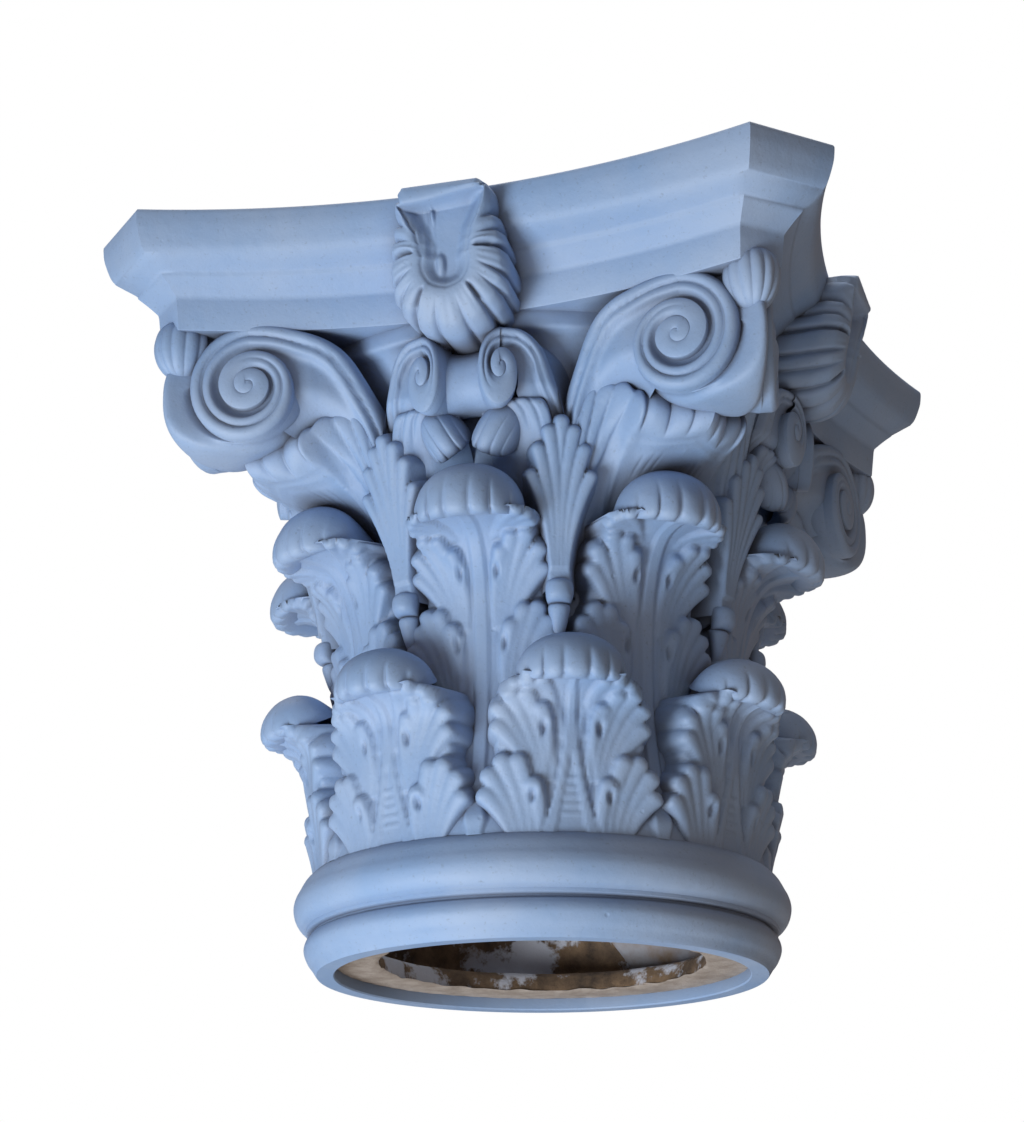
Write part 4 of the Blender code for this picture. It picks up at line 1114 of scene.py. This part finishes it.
class CAPITAL_OT_corners(bpy.types.Operator):
    """Make the band between the two volutes of each corner and the shell above it"""
    bl_idname = "capital.corners"
    bl_label = "Corner Bands and Shells"

    def execute(self, context):
        sizes = context.scene.capital_spirals
        size = sizes.volute
        corner = np.array([math.sqrt(0.5), -math.sqrt(0.5), 0.0])
        steps = 96
        t = np.linspace(0, 1, steps, endpoint=False)
        radius = size * spiral_radius(VOLUTE_RADII, t)
        # close the spiral's outline over its last fifth of a turn
        radius = radius + (size - radius[-1]) * ease(t, 0.80, 1.0)
        angle = spiral_angle(t)
        flat = np.stack([radius * np.cos(angle), radius * np.sin(angle), 0 * t - 0.004], -1)
        first = on_face(flat, *EYE, EYE_TURN)
        last = np.stack([-first[:, 1], -first[:, 0], first[:, 2]], -1)
        out_half = 0.058
        c, s = np.cos(angle), np.sin(angle)
        # the drum is fuller below than a circle
        full = np.where(s > 0, 1.0, np.where(c > 0, 0.72, 1.0))
        fall = np.where(s > 0, 1.0, np.where(c > 0, 0.72, 1.9))
        up_half = np.where(s > 0, 0.0560, 0.0500)
        squash = np.where(c > 0, 1.0, 1.35)
        reach = squash * out_half * np.sign(c) * np.abs(c) ** full
        middle = (corner * (CORNER_OUT - out_half))[None, :] + np.outer(reach, corner)
        middle[:, 2] = EYE[2] - 0.001 + up_half * np.sign(s) * np.abs(s) ** fall
        rows = []
        for w in np.linspace(0, 1, 31):
            bulge = (1 - abs(2 * w - 1) ** 2.5) ** 0.8
            chord = (1 - w) * first + w * last
            ring = chord + bulge * (middle - (first + last) / 2)
            near = min(w, 1 - w)
            # above the notch the band falls back beside the shell
            notch = ease(ring[:, 2], 0.4410, 0.4450) * math.exp(-((near - 0.10) / 0.09) ** 4)
            below_shell = ease(0.492 - ring[:, 2], 0, 0.02)
            cove = 0.0030 * math.exp(-((near - 0.10) / 0.06) ** 2) + 0.0080 * notch * below_shell
            spoke = ring - ring.mean(axis=0)
            spoke /= np.linalg.norm(spoke, axis=1)[:, None]
            rows.append(ring - spoke * cove[:, None])
        band = grid(np.array(rows), loop=True)
        make_round(SIDES, 0, {"corner_band": band, "corner_shell": self.shell(corner)})
        return {'FINISHED'}

    def shell(self, corner):
        """Ribbed shell that hugs the corner of the slab."""
        across = np.array([math.sqrt(0.5), math.sqrt(0.5), 0.0])
        centre = corner * 0.3260 + np.array([0, 0, 0.4760])
        a = np.radians(np.linspace(-115, 115, 121))[None, :]
        b = np.radians(np.linspace(-90, 90, 31))[:, None]
        ribs = np.abs(np.sin(6.4 * (a + 0.20)))
        flat = np.cos(b) ** 0.75
        size = flat * (1 - 0.085 * (1 - ribs ** 0.8) * np.cos(b) ** 0.5)
        # the ribs run together towards the foot
        x = 0.0205 * np.sin(a) * size * (1 + 0.16 * np.sin(b))
        n = 0.0260 * np.cos(a) * size * (1 + 0.06 * np.sin(b))
        z = 0.0250 * np.sin(b) + 0 * a
        points = centre + x[..., None] * across + n[..., None] * corner + z[..., None] * np.array([0, 0, 1.0])
        return grid(points)


class CAPITAL_OT_helices(bpy.types.Operator):
    """Make the inner spirals, their stems and the bolster between them"""
    bl_idname = "capital.helices"
    bl_label = "Inner Spirals"

    def execute(self, context):
        sizes = context.scene.capital_spirals
        size, roll, squeeze = sizes.helix, sizes.roll * 0.8, -HELIX_SQUEEZE
        flat = spiral_skin(HELIX_RADII, size, sizes.helix_turns, squeeze, roll, 0.006, 0.1)
        face = grid(on_face(flat, *HELIX_EYE, HELIX_TURN))
        wall = flipped(grid(on_face(edge_skin(HELIX_RADII, size, squeeze, 0.020), *HELIX_EYE, HELIX_TURN)))
        outer = smooth_line(HELIX_OUTER + ((HELIX_EYE[0], HELIX_EYE[2] + size),), 60)
        meeting = spiral_meeting(HELIX_RADII, size, HELIX_EYE, 0.62, 0.0006, squeeze, HELIX_TURN)
        f, x, z, width = stem_places(outer, smooth_line(HELIX_LOWER + meeting, 60), 18)
        proud = band_profile(np.minimum(f * np.maximum(width / 0.017, 0.5), 1), roll)
        out = helix_stem_out(x) + proud - 0.016 * ease(HELIX_EYE[2] - z, 0.010, 0.035)
        stem = grid(np.stack([x, -out, z], -1))
        dips = 0.06 * np.array(HELIX_DROPS)
        side = flipped(side_wall(outer, helix_stem_out(outer[:, 0]), HELIX_DROPS, dips))
        helix = joined([face, wall, stem, side])
        make_round(SIDES, 0, {"inner_spirals": joined([helix, mirrored(helix), self.bolster(size)])})
        return {'FINISHED'}

    def bolster(self, size):
        """Waisted saddle between the two inner spirals."""
        angle = np.linspace(0, 2 * math.pi, 48, endpoint=False)
        rows = []
        reach = HELIX_EYE[0] - HELIX_SQUEEZE * size * 0.62
        deep = 0.030
        for x in np.linspace(-1, 1, 25):
            waist = 0.80 + 0.17 * abs(x) ** 1.8
            up = size * 0.93 * waist * np.sin(angle)
            out = HELIX_EYE[1] + 0.004 - deep + deep * waist * np.cos(angle)
            rows.append(np.stack([reach * 1.35 * x + 0 * angle, -out, HELIX_EYE[2] - 0.0015 + up], -1))
        return grid(np.array(rows), loop=True)


PALMETTE_MIDDLE = 0.515
PALMETTE_RISE = 0.0515


class CAPITAL_OT_palmettes(bpy.types.Operator):
    """Make the palmette on each side of the slab"""
    bl_idname = "capital.palmettes"
    bl_label = "Palmettes"

    def execute(self, context):
        make_round(SIDES, 0, {"palmette": self.palmette(context.scene.capital_abacus)})
        return {'FINISHED'}

    def palmette(self, sizes):
        """Cup inside a fan of grouped fingers that bend back to the slab."""
        turn = np.linspace(-180, 180, 310, endpoint=False)
        aside = np.abs(turn)
        d = np.radians(turn)
        up = np.maximum(-np.cos(d), 0.05)
        wide = sizes.palmette_half / 0.0500
        edge = wide * np.interp(aside, (0, 15, 30, 45, 60, 75, 90, 110, 125, 135, 143),
                                (0.0655, 0.0650, 0.0640, 0.0625, 0.0590, 0.0550,
                                 0.0520, 0.0530, 0.0560, 0.0630, 0.0690))
        cup = np.interp(aside, (0, 30, 55, 83, 110, 125, 133, 139),
                        (0.0272, 0.0260, 0.0225, 0.0182, 0.0212, 0.0270, 0.0380, 0.0520))
        edge = np.where(aside > 120, np.minimum(edge, PALMETTE_RISE / up), edge)
        cup = np.where(aside > 100, np.minimum(cup, 0.0400 / up), cup)
        # lobes of the fan, parted by notches of uneven depth
        lobes = (13, 34, 52, 67, 93, 111, 127, 143)
        depths = (0.0012, 0.0034, 0.0018, 0.0022, 0.0040, 0.0022, 0.0030)
        cuts = tuple(-c for c in reversed(lobes)) + lobes
        crown = np.where(aside < 143, plump(turn, cuts), 1.0)
        notch = sum(deep * np.exp(-((aside - place) / 2.6) ** 2) for place, deep in zip(lobes, depths))
        edge = edge * (1 - 0.085 * (1 - crown) * (aside < 143)) - notch * 0.8
        # long drop-shaped slits between the groups of lobes
        slit = np.exp(-((aside - 34.5) / 2.2) ** 2) + np.exp(-((aside - 94.0) / 3.0) ** 2)
        # faint folds along each lobe
        fold = 0.5 + 0.5 * np.cos(np.radians(turn) * 38)
        rim = np.stack([cup * np.sin(d), -cup * np.cos(d)], -1)
        rim = rim[rim[:, 1] < 0.0385]
        rim = np.concatenate([rim[:-1] * (1 - q) + rim[1:] * q for q in np.arange(8) / 8])
        rows = []
        for share in np.linspace(0.0, 1.0, 19):
            r = cup * share
            x, z = r * np.sin(d), -r * np.cos(d)
            gap = np.hypot(x[:, None] - rim[None, :, 0], z[:, None] - rim[None, :, 1]).min(axis=1)
            seed = 0.0042 * np.exp(-(((x + 0.0050) / 0.0036) ** 2 + ((z + 0.0068) / 0.0080) ** 2) ** 2)
            ribs = 0.0003 * np.cos((x + 0.010) / 0.0026 * math.pi)
            ribs = ribs * ease(-x, 0.004, 0.010) * ease(z, -0.012, 0.006)
            drop = 0.0030 * np.exp(-(((x + 0.010) / 0.0018) ** 2 + ((z - 0.0330) / 0.0055) ** 2) ** 2)
            shade = ease(0.0405 - z, 0.0, 0.0015)
            rows.append((r, -0.0088 * ease(gap, 0.0, 0.0125) * shade + seed + ribs + drop))
        rows.append((cup * 1.02 + 0.0005, 0.0012 + 0 * d))
        for share in np.linspace(0.05, 1.0, 22):
            r = cup * 1.02 + 0.0005 + (edge - cup * 1.02 - 0.0005) * share
            back = 0.0090 * share ** 2.2 + 0.0085 * max(share - 0.80, 0) ** 2 / 0.04
            back = back * (1 - ease(aside, 143, 150))
            cut = 0.0016 * (1 - crown) * ease(share, 0.25, 0.75) + notch * 0.8 * ease(share, 0.45, 0.95)
            pit = 0.0052 * slit * ease(share, 0.16, 0.30) * (1 - ease(share, 0.55, 0.80))
            lips = np.exp(-((aside - 29.5) / 2.5) ** 2) + np.exp(-((aside - 100.5) / 3) ** 2)
            lips = 0.0010 * lips * math.sin(math.pi * min(share * 1.2, 1))
            folds = 0.0005 * fold * ease(share, 0.15, 0.5) * (aside < 140)
            lip = 0.0024 * ease(aside, 141, 146)
            swell = 0.0022 * math.sin(math.pi * share ** 0.8)
            rows.append((r, 0.0016 + swell - back - cut - pit + lips - folds + lip))
        low = PALMETTE_MIDDLE - 0.0655 * wide
        made = []
        for r, proud in rows:
            x, z = r * np.sin(d), PALMETTE_MIDDLE - r * np.cos(d)
            # the shelf over the cup hangs lower at the left
            z = z + 0.0030 * np.sin(x / 0.020 - 0.3) * ease(z, 0.548, 0.556) * (1 - ease(z, 0.558, 0.564))
            t = np.clip((z - low) / (CAD_TOP - low), 0, 1)
            out = 0.2530 + 0.0290 * t ** 0.7 + proud
            made.append(np.stack([x, -out, np.minimum(z, CAD_TOP - 0.0005)], -1))
        # the outer edge goes back into the slab
        last = made[-1]
        for reach, shrink in ((0.004, 0.995), (0.012, 0.985), (0.040, 0.96)):
            wall = last.copy()
            wall[:, 0] *= shrink
            wall[:, 1] += reach
            made.append(wall)
        return flipped(grid(np.array(made), loop=True))


def floor_paint():
    """Matt pale backdrop paper, which lets a view from underneath through."""
    settings = bpy.context.scene.capital_stage
    made = bpy.data.materials.new("backdrop_paper")
    made.use_nodes = True
    tree = made.node_tree
    shader = tree.nodes["Principled BSDF"]
    shader.inputs["Base Color"].default_value = linear(settings.floor_colour)
    shader.inputs["Roughness"].default_value = 0.9
    side = add_node(tree, 'ShaderNodeNewGeometry')
    clear = add_node(tree, 'ShaderNodeBsdfTransparent')
    both = add_node(tree, 'ShaderNodeMixShader', (), [(0, side.outputs["Backfacing"]), (1, shader.outputs[0]),
                                                      (2, clear.outputs[0])])
    tree.links.new(both.outputs[0], tree.nodes["Material Output"].inputs["Surface"])
    return made


# square soft lights: name, place, side and colour
LIGHTS = (("key", (-1.35, -2.20, -1.30), 1.3, "FFFFFF"), ("fill", (1.4, -2.4, 0.6), 2.4, "FFFFFF"),
          ("overhead", (-0.3, 0.6, 3.0), 3.0, "FFFFFF"), ("bounce", (-0.2, -0.9, -1.6), 1.8, "FFF0E0"))
LIGHTS_AIM = (0, 0, 0.30)
WARM_SKY = "FFD6B8"
# the camera's yaw, pitch and roll in radians
CAMERA_TURN = (0.2864, 0.3339, -0.0007)


def add_light(name, place, size, colour, power):
    """A square soft light that faces the capital."""
    data = bpy.data.lights.new(name, 'AREA')
    data.shape = 'SQUARE'
    data.size = size
    data.color = linear(colour)[:3]
    data.energy = power
    lamp = bpy.data.objects.new(name, data)
    lamp.location = place
    lamp.rotation_euler = (Vector(LIGHTS_AIM) - Vector(place)).to_track_quat('-Z', 'Y').to_euler()
    bpy.context.scene.collection.objects.link(lamp)


class CAPITAL_OT_stage(bpy.types.Operator):
    """Set the floor, the soft light and the camera"""
    bl_idname = "capital.stage"
    bl_label = "Stage"

    def execute(self, context):
        settings = context.scene.capital_stage
        half = settings.floor_width / 2
        data = bpy.data.meshes.new("floor")
        corners = [(-half, -half, 0), (half, -half, 0), (half, half, 0), (-half, half, 0)]
        data.from_pydata(corners, [], [(0, 1, 2, 3)])
        data.materials.append(floor_paint())
        floor = bpy.data.objects.new("floor", data)
        # light from underneath passes through the floor, which throws none back
        floor.visible_shadow = False
        floor.visible_diffuse = False
        context.scene.collection.objects.link(floor)
        for name, place, size, colour in LIGHTS:
            add_light(name, place, size, colour, getattr(settings, name + "_power"))
        world = bpy.data.worlds.new("surround")
        world.use_nodes = True
        back = world.node_tree.nodes["Background"]
        seen = add_node(world.node_tree, 'ShaderNodeLightPath').outputs["Is Camera Ray"]
        colour = add_node(world.node_tree, 'ShaderNodeMix', {"data_type": 'RGBA'}, [(0, seen)])
        colour.inputs[6].default_value = [settings.sky * c for c in linear(WARM_SKY)[:3]] + [1.0]
        colour.inputs[7].default_value = linear("FFFFFF")
        world.node_tree.links.new(colour.outputs[2], back.inputs["Color"])
        context.scene.world = world
        context.scene.view_settings.view_transform = 'Standard'
        lens = bpy.data.cameras.new("camera")
        lens.sensor_width = 36
        lens.lens = settings.camera_lens
        lens.clip_start = 0.05
        camera = bpy.data.objects.new("camera", lens)
        yaw, pitch, roll = CAMERA_TURN
        camera.matrix_world = (Matrix.Translation(Vector(settings.camera_place))
                               @ Matrix.Rotation(yaw, 4, 'Z')
                               @ Matrix.Rotation(math.pi / 2 + pitch, 4, 'X')
                               @ Matrix.Rotation(roll, 4, 'Z'))
        context.scene.collection.objects.link(camera)
        context.scene.camera = camera
        return {'FINISHED'}


STEPS = (CAPITAL_OT_stage, CAPITAL_OT_ring, CAPITAL_OT_hollow, CAPITAL_OT_bell, CAPITAL_OT_abacus,
         CAPITAL_OT_lower_leaves, CAPITAL_OT_upper_leaves, CAPITAL_OT_sheaths, CAPITAL_OT_volutes,
         CAPITAL_OT_corners, CAPITAL_OT_helices, CAPITAL_OT_palmettes)
GROUPS = {"capital_ring": RingSizes, "capital_leaves": LeafSizes, "capital_spirals": SpiralSizes,
          "capital_abacus": AbacusSizes, "capital_colours": FinishColours, "capital_stage": StageSettings}


class CAPITAL_PT_sidebar(bpy.types.Panel):
    """Sidebar page that lists the pieces of the capital"""
    bl_idname = "CAPITAL_PT_sidebar"
    bl_label = "Capital"
    bl_space_type = 'VIEW_3D'
    bl_region_type = 'UI'
    bl_category = "Capital"

    def draw(self, context):
        for group in GROUPS:
            box = self.layout.box()
            sizes = getattr(context.scene, group)
            for key in sizes.__annotations__:
                box.prop(sizes, key)
        for step in STEPS:
            self.layout.operator(step.bl_idname)


def register():
    for key, group in GROUPS.items():
        bpy.utils.register_class(group)
        setattr(bpy.types.Scene, key, PointerProperty(type=group))
    for step in STEPS:
        bpy.utils.register_class(step)
    bpy.utils.register_class(CAPITAL_PT_sidebar)


def unregister():
    bpy.utils.unregister_class(CAPITAL_PT_sidebar)
    for step in reversed(STEPS):
        bpy.utils.unregister_class(step)
    for key, group in reversed(GROUPS.items()):
        delattr(bpy.types.Scene, key)
        bpy.utils.unregister_class(group)


def main():
    register()
    for step in STEPS:
        area, name = step.bl_idname.split(".")
        getattr(getattr(bpy.ops, area), name)()


if __name__ == "__main__":
    main()
